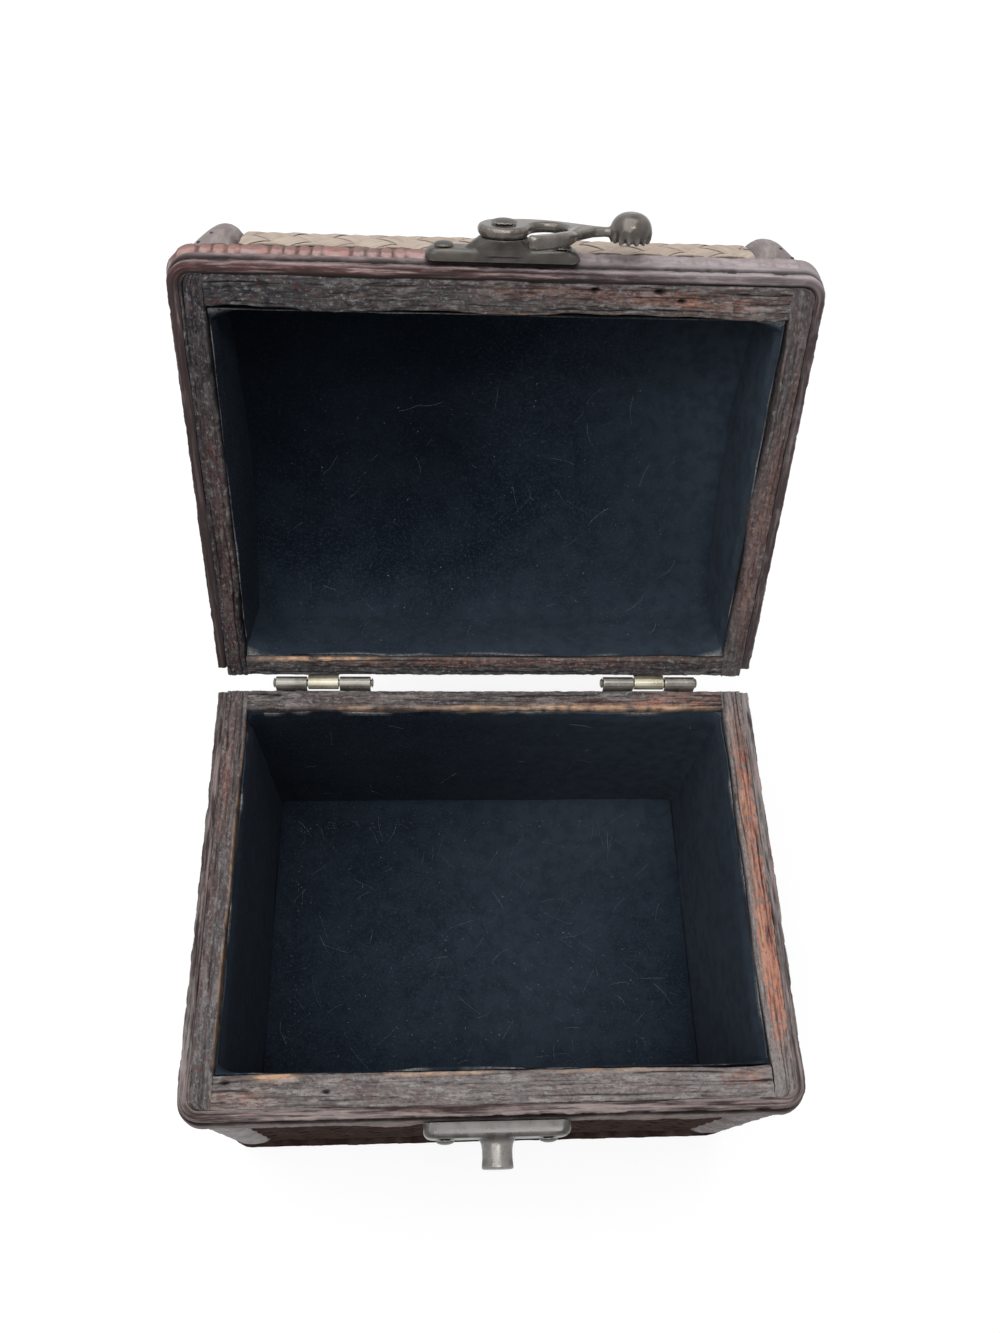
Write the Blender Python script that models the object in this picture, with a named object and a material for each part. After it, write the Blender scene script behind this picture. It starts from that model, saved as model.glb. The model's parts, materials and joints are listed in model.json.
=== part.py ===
"""Small barrel-lidded treasure chest, standing open. Metres, +Z up, front at -Y, origin under the base."""

import math
from functools import partial

import bmesh
import bpy
from mathutils import Matrix, Vector
from mathutils.geometry import interpolate_bezier

MM = 0.001

# Wooden carcass
CARCASS_WIDTH = 165.2 * MM
CARCASS_DEPTH = 123.6 * MM
BASE_HEIGHT = 100 * MM
BOARD = 6.4 * MM
FRONT_BOARD = 8.5 * MM
BOTTOM_BOARD = 11 * MM
FRONT_CORNER_RADIUS = 3.5 * MM
BACK_CORNER_RADIUS = 1 * MM
SEAM = 0.3 * MM

# Barrel lid
LID_WALL = 22 * MM
CROWN_RISE = 25 * MM
EAVE_RADIUS = 14 * MM
TOP_PANEL = 3.2 * MM
LID_GAP = 0.6 * MM
LID_OPEN_ANGLE = math.radians(118)

# Felt-covered cards that line the base and the lid
LINING = 1.2 * MM
LINING_DROP = 1.4 * MM
FLOOR_CARD = 8 * MM

# Woven mats on the outside
BASE_MAT = 1.8 * MM
LID_MAT = 4.8 * MM

# Leather bindings: how far each stands out from the wood, and how wide it is
RIDGE_PROUD = 2.8 * MM
RIDGE_WIDTH = 3.9 * MM
BAND_PROUD = 3.9 * MM
RIM_BINDING = 11.2 * MM
RIM_EDGE_ROUND = 0.8 * MM
LID_BAND_FLARE = 1.1 * MM
BAND_SHELF = 8.6 * MM
BASE_BINDING_STOP = 0.5 * MM
LID_BINDING_STOP = 2.6 * MM
FOOT_PROUD = 3.4 * MM
FOOT_BINDING = 10 * MM
CORNER_PROUD = 2.8 * MM
CORNER_LEG = 11 * MM
EDGE_PROUD = 6.4 * MM
EDGE_FLANGE = 14.2 * MM
EDGE_SLOPE = 6.5 * MM
EDGE_SIDE_PROUD = 2.3 * MM
EDGE_SIDE_DROP = 7.8 * MM

# Butt hinges
HINGE_BEHIND = 2.7 * MM
HINGE_INSET = 30.1 * MM
HINGE_LENGTH = 30 * MM
HINGE_LEAF = 9 * MM
HINGE_LEAF_DROP = 2.2 * MM
LEAF_THICKNESS = 0.9 * MM
PIN_RADIUS = 0.95 * MM
PIN_CLEARANCE = 0.25 * MM
PIN_NUB = 0.9 * MM
KNUCKLE_GAP = 0.3 * MM
ROLL_START = math.radians(168)
ROLL_END = math.radians(-118)
HINGE_SCREW_INSET = 5.5 * MM
HINGE_SCREW_RADIUS = 1.6 * MM
HINGE_SCREW_SHANK = 0.7 * MM
HINGE_SCREW_DOME = 0.5 * MM

# Swing-hook latch
LATCH_PLATE_LENGTH = 40 * MM
LATCH_PLATE_HEIGHT = 7 * MM
LATCH_PLATE_THICKNESS = 3 * MM
LATCH_SCREW_OFFSET = 15.2 * MM
BOSS_RISE = 2.8 * MM
BOSS_TOP_RADIUS = 6 * MM
BOSS_SLOPE = 4 * MM
PIVOT_RISE = 4.7 * MM
RIVET_RADIUS = 2 * MM
RIVET_HEAD_RADIUS = 3.5 * MM
RIVET_DOME = 0.9 * MM
RIVET_CLEARANCE = 0.2 * MM
HOOK_THICKNESS = 2.7 * MM
HOOK_ROUND = 1 * MM
HOOK_ARM = 3.4 * MM
HOOK_ARM_SWEEP = math.radians(-69)
HOOK_SEAT_ANGLE = math.radians(-11)
HOOK_TIP_RISE = 0.7 * MM
HOOK_ARM_SWELL = 0.3
HOOK_NECK_ANGLE = math.radians(-20)
EYE_START = math.radians(75)
SHOULDER_RISE = 4.6 * MM
SHOULDER_REACH = 12.8 * MM
SHOULDER_ANGLE = math.radians(40)
NECK_START = 23.2 * MM
NECK_RADIUS = 2 * MM
NECK_WAIST = 1.35 * MM
NECK_SETBACK = 1.2 * MM
NECK_THINNING = 0.12
KNOB_REACH = 32.5 * MM
KNOB_RADIUS = 5.5 * MM
KNOB_DOME = 4.9 * MM
KNOB_SKIRT = 2.3 * MM
KNOB_FROM = math.radians(-38)
KNOB_TO = math.radians(80)
KNOB_FULLNESS = 0.8
KNOB_HOLLOW = 0.6
KNOB_FLUTES = 14
KNOB_FLUTE_DEPTH = 0.4 * MM
KNOB_SCALLOP = 0.7 * MM

# Strike plate
STRIKE_LENGTH = 40 * MM
STRIKE_HEIGHT = 10.4 * MM
STRIKE_TOP_DROP = 0.6 * MM
STRIKE_THICKNESS = 4 * MM
STRIKE_SCREW_OFFSET = 14 * MM
STUD_DROP = 6.1 * MM
STUD_RADIUS = 4.35 * MM
STUD_WAIST = 0.25 * MM
STUD_ROOT_FLARE = 0.6 * MM
STUD_ROOT = 1.3 * MM
STUD_SHOULDER = 2.9 * MM
STUD_LIP = 2.5 * MM
STUD_LENGTH = 7.6 * MM
STUD_CLEARANCE = 0.3 * MM

# Plate screws and shared edge rounding
SCREW_RADIUS = 2.7 * MM
SCREW_DOME = 1 * MM
SCREW_SHANK = 1.2 * MM
SCREW_CLEARANCE = 0.3 * MM
PLATE_CORNER = 2.4 * MM
PLATE_ROUND = 0.7 * MM
PLATE_END_ROUND = 2.2 * MM
BOARD_ROUND = 0.5 * MM
STRAP_ROUND = 0.8 * MM

# Facets, and the angles past which an edge is kept sharp, rounded or counted as a rim
CORNER_STEPS = 5
PLATE_STEPS = 3
EAVE_STEPS = 6
CROWN_STEPS = 10
EDGE_STEPS = 8
ROLL_STEPS = 9
EYE_STEPS = 16
SLOT_STEPS = 10
ARM_STEPS = 8
TIP_STEPS = 6
SHOULDER_STEPS = 9
KNOB_STEPS = 9
KNOB_SIDES_PER_FLUTE = 4
DOME_ANGLES = (0, 33, 60, 82)
SHARP_ANGLE = math.radians(32)
ROUND_ANGLE = math.radians(40)
RIM_ANGLE = math.radians(60)
ROUND_SIDES = 20
SCREW_SIDES = 16
SMALL_SIDES = 12
STUD_SIDES = 28

# Places that follow from the sizes above
HALF_WIDTH = CARCASS_WIDTH / 2
HALF_DEPTH = CARCASS_DEPTH / 2
FRONT_STEP = FRONT_BOARD - BOARD
LID_RIM_Z = BASE_HEIGHT + LID_GAP
HINGE_AXIS = Vector((0, HALF_DEPTH + HINGE_BEHIND, BASE_HEIGHT + LID_GAP / 2))
HINGE_OFFSET = HALF_WIDTH - HINGE_INSET
HINGE_SCREW_OFFSET = HINGE_LENGTH / 2 - HINGE_SCREW_INSET
PLATE_BACK = BAND_PROUD + SEAM
LATCH_FACE = PLATE_BACK + LATCH_PLATE_THICKNESS
BOSS_FACE = LATCH_FACE + BOSS_RISE
HOOK_BACK = BOSS_FACE + SEAM
HOOK_FACE = HOOK_BACK + HOOK_THICKNESS
STRIKE_FACE = PLATE_BACK + STRIKE_THICKNESS
PIVOT_Z = LID_RIM_Z + PIVOT_RISE
STUD_Z = BASE_HEIGHT - STUD_DROP
STRIKE_Z = BASE_HEIGHT - STRIKE_TOP_DROP - STRIKE_HEIGHT / 2
STUD_REACH = PIVOT_Z - STUD_Z
SLOT_RADIUS = STUD_RADIUS + STUD_CLEARANCE
EYE_RADIUS = STUD_REACH - SLOT_RADIUS
ARM_INNER = STUD_REACH + SLOT_RADIUS
ARM_OUTER = ARM_INNER + HOOK_ARM
NECK_AT = KNOB_REACH - KNOB_RADIUS - NECK_SETBACK


def make_material(name, color, roughness, metallic=0.0):
    material = bpy.data.materials.new(name)
    material.use_nodes = True
    shader = material.node_tree.nodes["Principled BSDF"]
    shader.inputs["Base Color"].default_value = (*color, 1)
    shader.inputs["Roughness"].default_value = roughness
    shader.inputs["Metallic"].default_value = metallic
    return material


def arc(centre, radius, start, end, steps):
    """Points (u, v) on an arc, its ends included. Angles are in degrees."""
    points = []
    for step in range(steps + 1):
        angle = math.radians(start + (end - start) * step / steps)
        points.append((centre[0] + radius * math.cos(angle), centre[1] + radius * math.sin(angle)))
    return points


def loft(rings, ring_loops=False):
    """A closed bmesh through rings of equal count. It is capped at both ends unless the rings form a loop."""
    bm = bmesh.new()
    rows = [[bm.verts.new(point) for point in ring] for ring in rings]
    pairs = list(zip(rows, rows[1:]))
    if ring_loops:
        pairs.append((rows[-1], rows[0]))
    for row, following in pairs:
        for index in range(len(row)):
            after = (index + 1) % len(row)
            bm.faces.new((row[index], row[after], following[after], following[index]))
    if not ring_loops:
        bm.faces.new(rows[0])
        bm.faces.new(rows[-1])
    return bm


def prism(outline, place, low, high):
    """A prism over a flat outline of points (u, v), which place(u, v, t) puts in space at low and at high."""
    return loft([[place(u, v, t) for u, v in outline] for t in (low, high)])


def box(low, high):
    outline = [(low[0], low[1]), (high[0], low[1]), (high[0], high[1]), (low[0], high[1])]
    return prism(outline, lambda x, y, z: (x, y, z), low[2], high[2])


def turned(profile, place, sides=ROUND_SIDES):
    """A turned solid from (radius, distance along its axis) pairs, put in space by place(u, v, distance)."""
    rings = []
    for radius, along in profile:
        circle = arc((0, 0), radius, 0, 360, sides)[:-1]
        rings.append([place(u, v, along) for u, v in circle])
    return loft(rings)


def domed(radius, base, rise):
    """Profile pairs of a low dome on a flat base, as on a screw or rivet head: a quarter of an ellipse."""
    angles = [math.radians(degrees) for degrees in DOME_ANGLES]
    return [(radius * math.cos(angle), base + rise * math.sin(angle)) for angle in angles]


def add(name, bm, material, pivot=None, rounding=0.0):
    """Turns a bmesh into a named object. With a pivot empty it moves with that empty, about its origin."""
    bmesh.ops.recalc_face_normals(bm, faces=bm.faces)
    mesh = bpy.data.meshes.new(name)
    bm.to_mesh(mesh)
    bm.free()
    mesh.materials.append(material)
    mesh.shade_smooth()
    mesh.set_sharp_from_angle(angle=SHARP_ANGLE)
    obj = bpy.data.objects.new(name, mesh)
    bpy.context.scene.collection.objects.link(obj)
    if pivot:
        mesh.transform(Matrix.Translation(-Vector(pivot["closed_at"])))
        obj.parent = pivot
    if rounding:
        bevel = obj.modifiers.new("Rounded edges", "BEVEL")
        bevel.width = rounding
        bevel.segments = 2
        bevel.limit_method = "ANGLE"
        bevel.angle_limit = ROUND_ANGLE
    return obj


def combine(bm, operation, other):
    """The Boolean of two bmeshes, as a new bmesh."""
    objects = []
    for source in (bm, other):
        bmesh.ops.recalc_face_normals(source, faces=source.faces)
        mesh = bpy.data.meshes.new("Boolean operand")
        source.to_mesh(mesh)
        source.free()
        obj = bpy.data.objects.new("Boolean operand", mesh)
        bpy.context.scene.collection.objects.link(obj)
        objects.append(obj)
    boolean = objects[0].modifiers.new("Boolean", "BOOLEAN")
    boolean.operation = operation
    boolean.solver = "EXACT"
    boolean.object = objects[1]
    graph = bpy.context.evaluated_depsgraph_get()
    result = bmesh.new()
    result.from_object(objects[0], graph)
    for obj in objects:
        mesh = obj.data
        bpy.data.objects.remove(obj)
        bpy.data.meshes.remove(mesh)
    return result


def add_pivot(name, closed_at, turn=0.0, parent=None):
    """An empty on a joint's axis. closed_at is its place on the shut chest, where the pieces are modelled."""
    pivot = bpy.data.objects.new(name, None)
    bpy.context.scene.collection.objects.link(pivot)
    pivot["closed_at"] = tuple(closed_at)
    pivot.location = closed_at if parent is None else closed_at - Vector(parent["closed_at"])
    pivot.rotation_euler.x = turn
    pivot.parent = parent
    return pivot


# Barrel and plan outlines, each at a distance from the wood's outer face


def arch(proud):
    """Points (y, z) over the barrel from the front eave to the back eave, standing proud of the wood."""
    half = HALF_DEPTH - EAVE_RADIUS
    crown_radius = (half**2 + CROWN_RISE**2 - EAVE_RADIUS**2) / (2 * (CROWN_RISE - EAVE_RADIUS))
    below = crown_radius - CROWN_RISE
    eaves_z = LID_RIM_Z + LID_WALL
    join = math.degrees(math.atan2(below, half))
    front = arc((-half, eaves_z), EAVE_RADIUS + proud, 180, 180 - join, EAVE_STEPS)
    crown = arc((0, eaves_z - below), crown_radius + proud, 180 - join, join, CROWN_STEPS)
    back = arc((half, eaves_z), EAVE_RADIUS + proud, join, 0, EAVE_STEPS)
    return front + crown[1:] + back[1:]


def barrel(proud, rise):
    """The arch with straight legs that start at a height above the lid's rim."""
    legs_z = LID_RIM_Z + rise
    return [(-HALF_DEPTH - proud, legs_z), *arch(proud), (HALF_DEPTH + proud, legs_z)]


def lined_barrel(inset, rise):
    """The barrel inside the boards, squeezed back so that it clears the thicker front board."""
    half = HALF_DEPTH - inset
    return [(y + FRONT_STEP * (half - y) / (2 * half), z) for y, z in barrel(-inset, rise)]


def corner(side, end, proud):
    """Plan points round one vertical corner of the carcass, from its end face to its front or back face."""
    radius = FRONT_CORNER_RADIUS if end < 0 else BACK_CORNER_RADIUS
    centre = (HALF_WIDTH - radius, HALF_DEPTH - radius)
    return [(side * x, end * y) for x, y in arc(centre, radius + proud, 0, 90, CORNER_STEPS)]


def rim_path(proud, back_stop):
    """Plan points of the U round the left end, the front and the right end, stopping short of the back."""
    back_y = HALF_DEPTH - back_stop
    front = corner(-1, -1, proud) + corner(1, -1, proud)[::-1]
    return [(-HALF_WIDTH - proud, back_y), *front, (HALF_WIDTH + proud, back_y)]


def foot_path(proud):
    front = corner(-1, -1, proud) + corner(1, -1, proud)[::-1]
    back = corner(1, 1, proud) + corner(-1, 1, proud)[::-1]
    return front + back


def plan_sweep(section, path, ring_loops=False):
    """Sweeps a section of (proud, z) points along a plan path, which is a function of proud."""
    sides = [[(x, y, z) for x, y in path(proud)] for proud, z in section]
    return loft([list(ring) for ring in zip(*sides)], ring_loops)


# Wooden boards


def front_place(x, z, proud):
    """Puts a point of the front face, standing proud of the wood, in space."""
    return (x, -HALF_DEPTH - proud, z)


def end_board_base(side):
    """An end board of the base, its outer corners rounded."""
    inner = HALF_WIDTH - BOARD
    outline = [(side * inner, -HALF_DEPTH), *corner(side, -1, 0)[::-1], *corner(side, 1, 0),
               (side * inner, HALF_DEPTH)]
    return prism(outline, lambda x, y, z: (x, y, z), 0, BASE_HEIGHT)


def end_board_lid(side):
    """An arched end of the lid with a round front corner, stepped in along the arch for the top panel."""
    step = TOP_PANEL + SEAM
    wall_top = LID_RIM_Z + LID_WALL
    outline = [(-HALF_DEPTH, LID_RIM_Z), (-HALF_DEPTH, wall_top), *arch(-step), (HALF_DEPTH, wall_top),
               (HALF_DEPTH, LID_RIM_Z)]
    outer, inner = side * HALF_WIDTH, side * (HALF_WIDTH - BOARD)
    bm = prism(outline, lambda y, z, x: (x, y, z), outer, inner)
    corner_edges = [
        edge for edge in bm.edges
        if all(abs(v.co.x - outer) < SEAM and abs(v.co.y + HALF_DEPTH) < SEAM for v in edge.verts)
    ]
    bmesh.ops.bevel(bm, geom=corner_edges, offset=FRONT_CORNER_RADIUS, segments=CORNER_STEPS,
                    profile=0.5, affect="EDGES")
    return bm


def rail(end, low, high):
    """A front or back board, standing between the end boards from one height to another."""
    reach = HALF_WIDTH - BOARD - SEAM
    thickness = FRONT_BOARD if end < 0 else BOARD
    faces = sorted((end * HALF_DEPTH, end * (HALF_DEPTH - thickness)))
    return box((-reach, faces[0], low), (reach, faces[1], high))


def bent_sheet(inner_line, outer_line, half_length):
    """A sheet bent over the barrel between two lines of (y, z) points."""
    rings = []
    for outer, inner in zip(outer_line, inner_line):
        low, high = -half_length, half_length
        rings.append([(low, *outer), (high, *outer), (high, *inner), (low, *inner)])
    return loft(rings)


def add_boards(wood, lid):
    add("base_left_board", end_board_base(-1), wood, rounding=BOARD_ROUND)
    add("base_right_board", end_board_base(1), wood, rounding=BOARD_ROUND)
    add("base_front_board", rail(-1, 0, BASE_HEIGHT), wood, rounding=BOARD_ROUND)
    add("base_back_board", rail(1, 0, BASE_HEIGHT), wood, rounding=BOARD_ROUND)
    reach_x = HALF_WIDTH - BOARD - SEAM
    front_y, back_y = -HALF_DEPTH + FRONT_BOARD + SEAM, HALF_DEPTH - BOARD - SEAM
    add("base_bottom_board", box((-reach_x, front_y, 0), (reach_x, back_y, BOTTOM_BOARD)), wood)
    wall_top = LID_RIM_Z + LID_WALL
    add("lid_left_board", end_board_lid(-1), wood, lid, BOARD_ROUND)
    add("lid_right_board", end_board_lid(1), wood, lid, BOARD_ROUND)
    add("lid_front_board", rail(-1, LID_RIM_Z, wall_top), wood, lid, BOARD_ROUND)
    add("lid_back_board", rail(1, LID_RIM_Z, wall_top), wood, lid, BOARD_ROUND)
    rise = LID_WALL + SEAM
    add("lid_top_panel", bent_sheet(barrel(-TOP_PANEL, rise), barrel(0, rise), HALF_WIDTH), wood, lid)


# Felt-covered cards


def end_card(side, outline, face, thickness):
    """A flat card in the shape of the lid's end, from an outline of (y, z) points."""
    return prism(outline, lambda y, z, x: (side * x, y, z), face, face + thickness)


def add_linings(felt, lid):
    wall_x = HALF_WIDTH - BOARD - SEAM
    front_y, back_y = -HALF_DEPTH + FRONT_BOARD + SEAM, HALF_DEPTH - BOARD - SEAM
    low = BOTTOM_BOARD + SEAM
    high = BASE_HEIGHT - LINING_DROP
    card_x = wall_x - LINING
    add("base_front_lining", box((-wall_x, front_y, low), (wall_x, front_y + LINING, high)), felt)
    add("base_back_lining", box((-wall_x, back_y - LINING, low), (wall_x, back_y, high)), felt)
    start_y, end_y = front_y + LINING + SEAM, back_y - LINING - SEAM
    add("base_left_lining", box((-wall_x, start_y, low), (-card_x, end_y, high)), felt)
    add("base_right_lining", box((card_x, start_y, low), (wall_x, end_y, high)), felt)
    floor_x = card_x - SEAM
    add("base_floor_card", box((-floor_x, start_y, low), (floor_x, end_y, low + FLOOR_CARD)), felt)
    inset = BOARD + SEAM
    dome = bent_sheet(lined_barrel(inset + LINING, LINING_DROP), lined_barrel(inset, LINING_DROP), wall_x)
    add("lid_barrel_lining", dome, felt, lid)
    outline = lined_barrel(inset + LINING + SEAM, LINING_DROP)
    for side, name in ((-1, "lid_left_lining"), (1, "lid_right_lining")):
        add(name, end_card(side, outline, card_x, LINING), felt, lid)


# Woven mats


def add_mats(mat, lid):
    low = FOOT_BINDING + SEAM
    high = BASE_HEIGHT - RIM_BINDING - SEAM
    skin, face = SEAM, SEAM + BASE_MAT
    reach_x = HALF_WIDTH - CORNER_LEG - SEAM
    reach_y = HALF_DEPTH - CORNER_LEG - SEAM
    for end, name in ((-1, "base_front_mat"), (1, "base_back_mat")):
        faces = sorted((end * (HALF_DEPTH + skin), end * (HALF_DEPTH + face)))
        add(name, box((-reach_x, faces[0], low), (reach_x, faces[1], high)), mat)
    for side, name in ((-1, "base_left_mat"), (1, "base_right_mat")):
        faces = sorted((side * (HALF_WIDTH + skin), side * (HALF_WIDTH + face)))
        add(name, box((faces[0], -reach_y, low), (faces[1], reach_y, high)), mat)
    rise = RIM_BINDING + SEAM
    half_length = HALF_WIDTH - EDGE_FLANGE - SEAM
    cover = bent_sheet(barrel(skin, rise), barrel(SEAM + LID_MAT, rise), half_length)
    add("lid_barrel_mat", cover, mat, lid)
    outline = barrel(-EDGE_SIDE_DROP - SEAM, rise)
    for side, name in ((-1, "lid_left_mat"), (1, "lid_right_mat")):
        add(name, end_card(side, outline, HALF_WIDTH + skin, BASE_MAT), mat, lid)


# Leather bindings


def rim_section(rim_z, away, flare=0.0):
    """A rounded ridge at the rim and a broader band next to it, which may flare at its far edge."""
    edge = BAND_PROUD + flare
    points = [
        (SEAM, SEAM), (RIDGE_PROUD - RIM_EDGE_ROUND, SEAM), (RIDGE_PROUD, SEAM + RIM_EDGE_ROUND),
        (RIDGE_PROUD, RIDGE_WIDTH - RIM_EDGE_ROUND), (RIDGE_PROUD - RIM_EDGE_ROUND, RIDGE_WIDTH),
        (BAND_PROUD, RIDGE_WIDTH + RIM_EDGE_ROUND), (BAND_PROUD, BAND_SHELF),
        (edge, RIM_BINDING - RIM_EDGE_ROUND), (edge - RIM_EDGE_ROUND, RIM_BINDING), (SEAM, RIM_BINDING),
    ]
    return [(proud, rim_z + away * depth) for proud, depth in points]


def edge_section():
    """Section (inset from the lid's end face, proud of the arch) of an edge binding: a sloping, crowned L."""
    outer = -EDGE_SIDE_PROUD
    # A cubic Bezier rises to three quarters of the height of its handles
    handles = EDGE_PROUD * 4 / 3
    crown = [Vector((EDGE_FLANGE, SEAM + STRAP_ROUND)), Vector((EDGE_FLANGE - STRAP_ROUND, handles)),
             Vector((EDGE_SLOPE, handles)), Vector((outer, -STRAP_ROUND))]
    top = [tuple(point) for point in interpolate_bezier(*crown, EDGE_STEPS)]
    low = -EDGE_SIDE_DROP
    side = [(outer, low + STRAP_ROUND), (outer + STRAP_ROUND, low), (-SEAM, low)]
    return [(EDGE_FLANGE, SEAM), *top, *side, (-SEAM, SEAM)]


def edge_binding(side):
    rise = RIM_BINDING + SEAM
    strips = []
    for inset, proud in edge_section():
        strips.append([(side * (HALF_WIDTH - inset), y, z) for y, z in barrel(proud, rise)])
    return loft([list(ring) for ring in zip(*strips)])


def corner_strap_path(side, end, proud):
    """Plan points of a strap folded round one vertical corner of the base."""
    start = (side * (HALF_WIDTH + proud), end * (HALF_DEPTH - CORNER_LEG))
    finish = (side * (HALF_WIDTH - CORNER_LEG), end * (HALF_DEPTH + proud))
    return [start, *corner(side, end, proud), finish]


def add_bindings(leather, lid):
    base_rim = plan_sweep(rim_section(BASE_HEIGHT, -1), lambda proud: rim_path(proud, BASE_BINDING_STOP))
    add("base_rim_binding", base_rim, leather)
    lid_section = rim_section(LID_RIM_Z, 1, LID_BAND_FLARE)
    lid_rim = plan_sweep(lid_section, lambda proud: rim_path(proud, LID_BINDING_STOP))
    add("lid_rim_binding", lid_rim, leather, lid)
    foot = [
        (SEAM, SEAM), (FOOT_PROUD - STRAP_ROUND, SEAM), (FOOT_PROUD, SEAM + STRAP_ROUND),
        (FOOT_PROUD, FOOT_BINDING - STRAP_ROUND), (FOOT_PROUD - STRAP_ROUND, FOOT_BINDING),
        (SEAM, FOOT_BINDING),
    ]
    add("base_foot_binding", plan_sweep(foot, foot_path, ring_loops=True), leather)
    low = FOOT_BINDING + SEAM
    high = BASE_HEIGHT - RIM_BINDING - SEAM
    section = [(SEAM, low), (CORNER_PROUD, low), (CORNER_PROUD, high), (SEAM, high)]
    for end, end_name in ((-1, "front"), (1, "back")):
        for side, side_name in ((-1, "left"), (1, "right")):
            strap = plan_sweep(section, partial(corner_strap_path, side, end))
            add(f"base_corner_binding_{end_name}_{side_name}", strap, leather, rounding=STRAP_ROUND)
    for side, name in ((-1, "lid_left_edge_binding"), (1, "lid_right_edge_binding")):
        add(name, edge_binding(side), leather, lid)


# Butt hinges


def knuckle_roll(away):
    """Pairs of (inner, outer) points (y, z) along a leaf's tab, from the plate's edge round the pin."""
    bore = PIN_RADIUS + PIN_CLEARANCE
    outer = bore + LEAF_THICKNESS
    pairs = []
    for step in range(ROLL_STEPS + 1):
        angle = ROLL_START + (ROLL_END - ROLL_START) * step / ROLL_STEPS
        direction = Vector((math.cos(angle), -away * math.sin(angle)))
        centre = Vector((HINGE_AXIS.y, HINGE_AXIS.z))
        pairs.append((centre + direction * outer, centre + direction * bore))
    return pairs


def hinge_leaf(x, away, knuckles):
    """A leaf, flat on the back, with tabs rolled round the pin. away is -1 on the base and 1 on the lid."""
    thirds = [x - HINGE_LENGTH / 2 + HINGE_LENGTH * k / 3 for k in range(4)]
    rim_z = BASE_HEIGHT if away < 0 else LID_RIM_Z
    near_z = rim_z + away * HINGE_LEAF_DROP
    far_z = near_z + away * HINGE_LEAF
    skin = HALF_DEPTH + SEAM
    face = skin + LEAF_THICKNESS
    stations = [thirds[0]]
    for k in (1, 2):
        stations += [thirds[k] - KNUCKLE_GAP / 2, thirds[k] + KNUCKLE_GAP / 2]
    stations.append(thirds[3])
    ring = [(skin, far_z), (face, far_z), (face, near_z), (skin, near_z)]
    bm = loft([[(at, y, z) for y, z in ring] for at in stations])
    roll = knuckle_roll(away)
    for k in knuckles:
        low, high = stations[2 * k], stations[2 * k + 1]
        middle = Vector(((low + high) / 2, (skin + face) / 2, near_z))
        tab = min(bm.faces, key=lambda f: (f.calc_center_median() - middle).length)
        before = (Vector((skin, near_z)), Vector((face, near_z)))
        for pair in roll:
            tab = bmesh.ops.extrude_discrete_faces(bm, faces=[tab])["faces"][0]
            for v in tab.verts:
                flat = Vector((v.co.y, v.co.z))
                target = pair[0] if (flat - before[0]).length < (flat - before[1]).length else pair[1]
                v.co.y, v.co.z = target
            before = pair
    middle_z = (near_z + far_z) / 2
    for offset in (-HINGE_SCREW_OFFSET, HINGE_SCREW_OFFSET):
        hole = [(HINGE_SCREW_SHANK + SEAM, HALF_DEPTH), (HINGE_SCREW_SHANK + SEAM, face + SEAM)]
        cutter = turned(hole, lambda u, v, y, at=x + offset: (at + u, y, middle_z + v), SMALL_SIDES)
        bm = combine(bm, "DIFFERENCE", cutter)
    return bm, face, middle_z


def add_hinges(brass, lid):
    for side, side_name in ((-1, "left"), (1, "right")):
        x = side * HINGE_OFFSET
        for away, leaf_name, knuckles, pivot in ((-1, "base_leaf", (0, 2), None), (1, "lid_leaf", (1,), lid)):
            bm, face, middle_z = hinge_leaf(x, away, knuckles)
            add(f"hinge_{side_name}_{leaf_name}", bm, brass, pivot)
            for offset, screw_name in ((-HINGE_SCREW_OFFSET, "outer"), (HINGE_SCREW_OFFSET, "inner")):
                at = x + side * -offset
                head = domed(HINGE_SCREW_RADIUS, face + SEAM, HINGE_SCREW_DOME)
                profile = [(HINGE_SCREW_SHANK, HALF_DEPTH + SEAM), (HINGE_SCREW_SHANK, face + SEAM), *head]
                screw = turned(profile, lambda u, v, y, at=at, z=middle_z: (at + u, y, z + v), SMALL_SIDES)
                add(f"hinge_{side_name}_{leaf_name}_{screw_name}_screw", screw, brass, pivot)
        half = HINGE_LENGTH / 2
        nub = PIN_RADIUS + PIN_CLEARANCE + LEAF_THICKNESS / 2
        profile = [(PIN_RADIUS, -half - PIN_NUB), (nub, -half - PIN_NUB / 2), (nub, -half - SEAM),
                   (PIN_RADIUS, -half - SEAM), (PIN_RADIUS, half + SEAM), (nub, half + SEAM),
                   (nub, half + PIN_NUB / 2), (PIN_RADIUS, half + PIN_NUB)]
        pin = turned(profile, lambda u, v, t, x=x: (x + t, HINGE_AXIS.y + u, HINGE_AXIS.z + v), SMALL_SIDES)
        add(f"hinge_{side_name}_pin", pin, brass)


# Latch


def plate_outline(length, height, centre_z):
    """A plate outline (x, z) with rounded corners."""
    reach, half = length / 2 - PLATE_CORNER, height / 2 - PLATE_CORNER
    points = []
    for x, z, start in ((reach, half, 0), (-reach, half, 90), (-reach, -half, 180), (reach, -half, 270)):
        points += arc((x, centre_z + z), PLATE_CORNER, start, start + 90, CORNER_STEPS)
    return points


def pillow_plate(length, height, centre_z, face):
    """A cast plate whose ends and long edges fall away from its face."""
    edge = face - PLATE_END_ROUND
    rings = [[front_place(x, z, PLATE_BACK) for x, z in plate_outline(length, height, centre_z)]]
    for step in range(PLATE_STEPS + 1):
        angle = math.radians(90) * step / PLATE_STEPS
        trim = 2 * (1 - math.cos(angle))
        outline = plate_outline(length - PLATE_END_ROUND * trim, height - PLATE_ROUND * trim, centre_z)
        proud = edge + PLATE_END_ROUND * math.sin(angle)
        rings.append([front_place(x, z, proud) for x, z in outline])
    return loft(rings)


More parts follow.
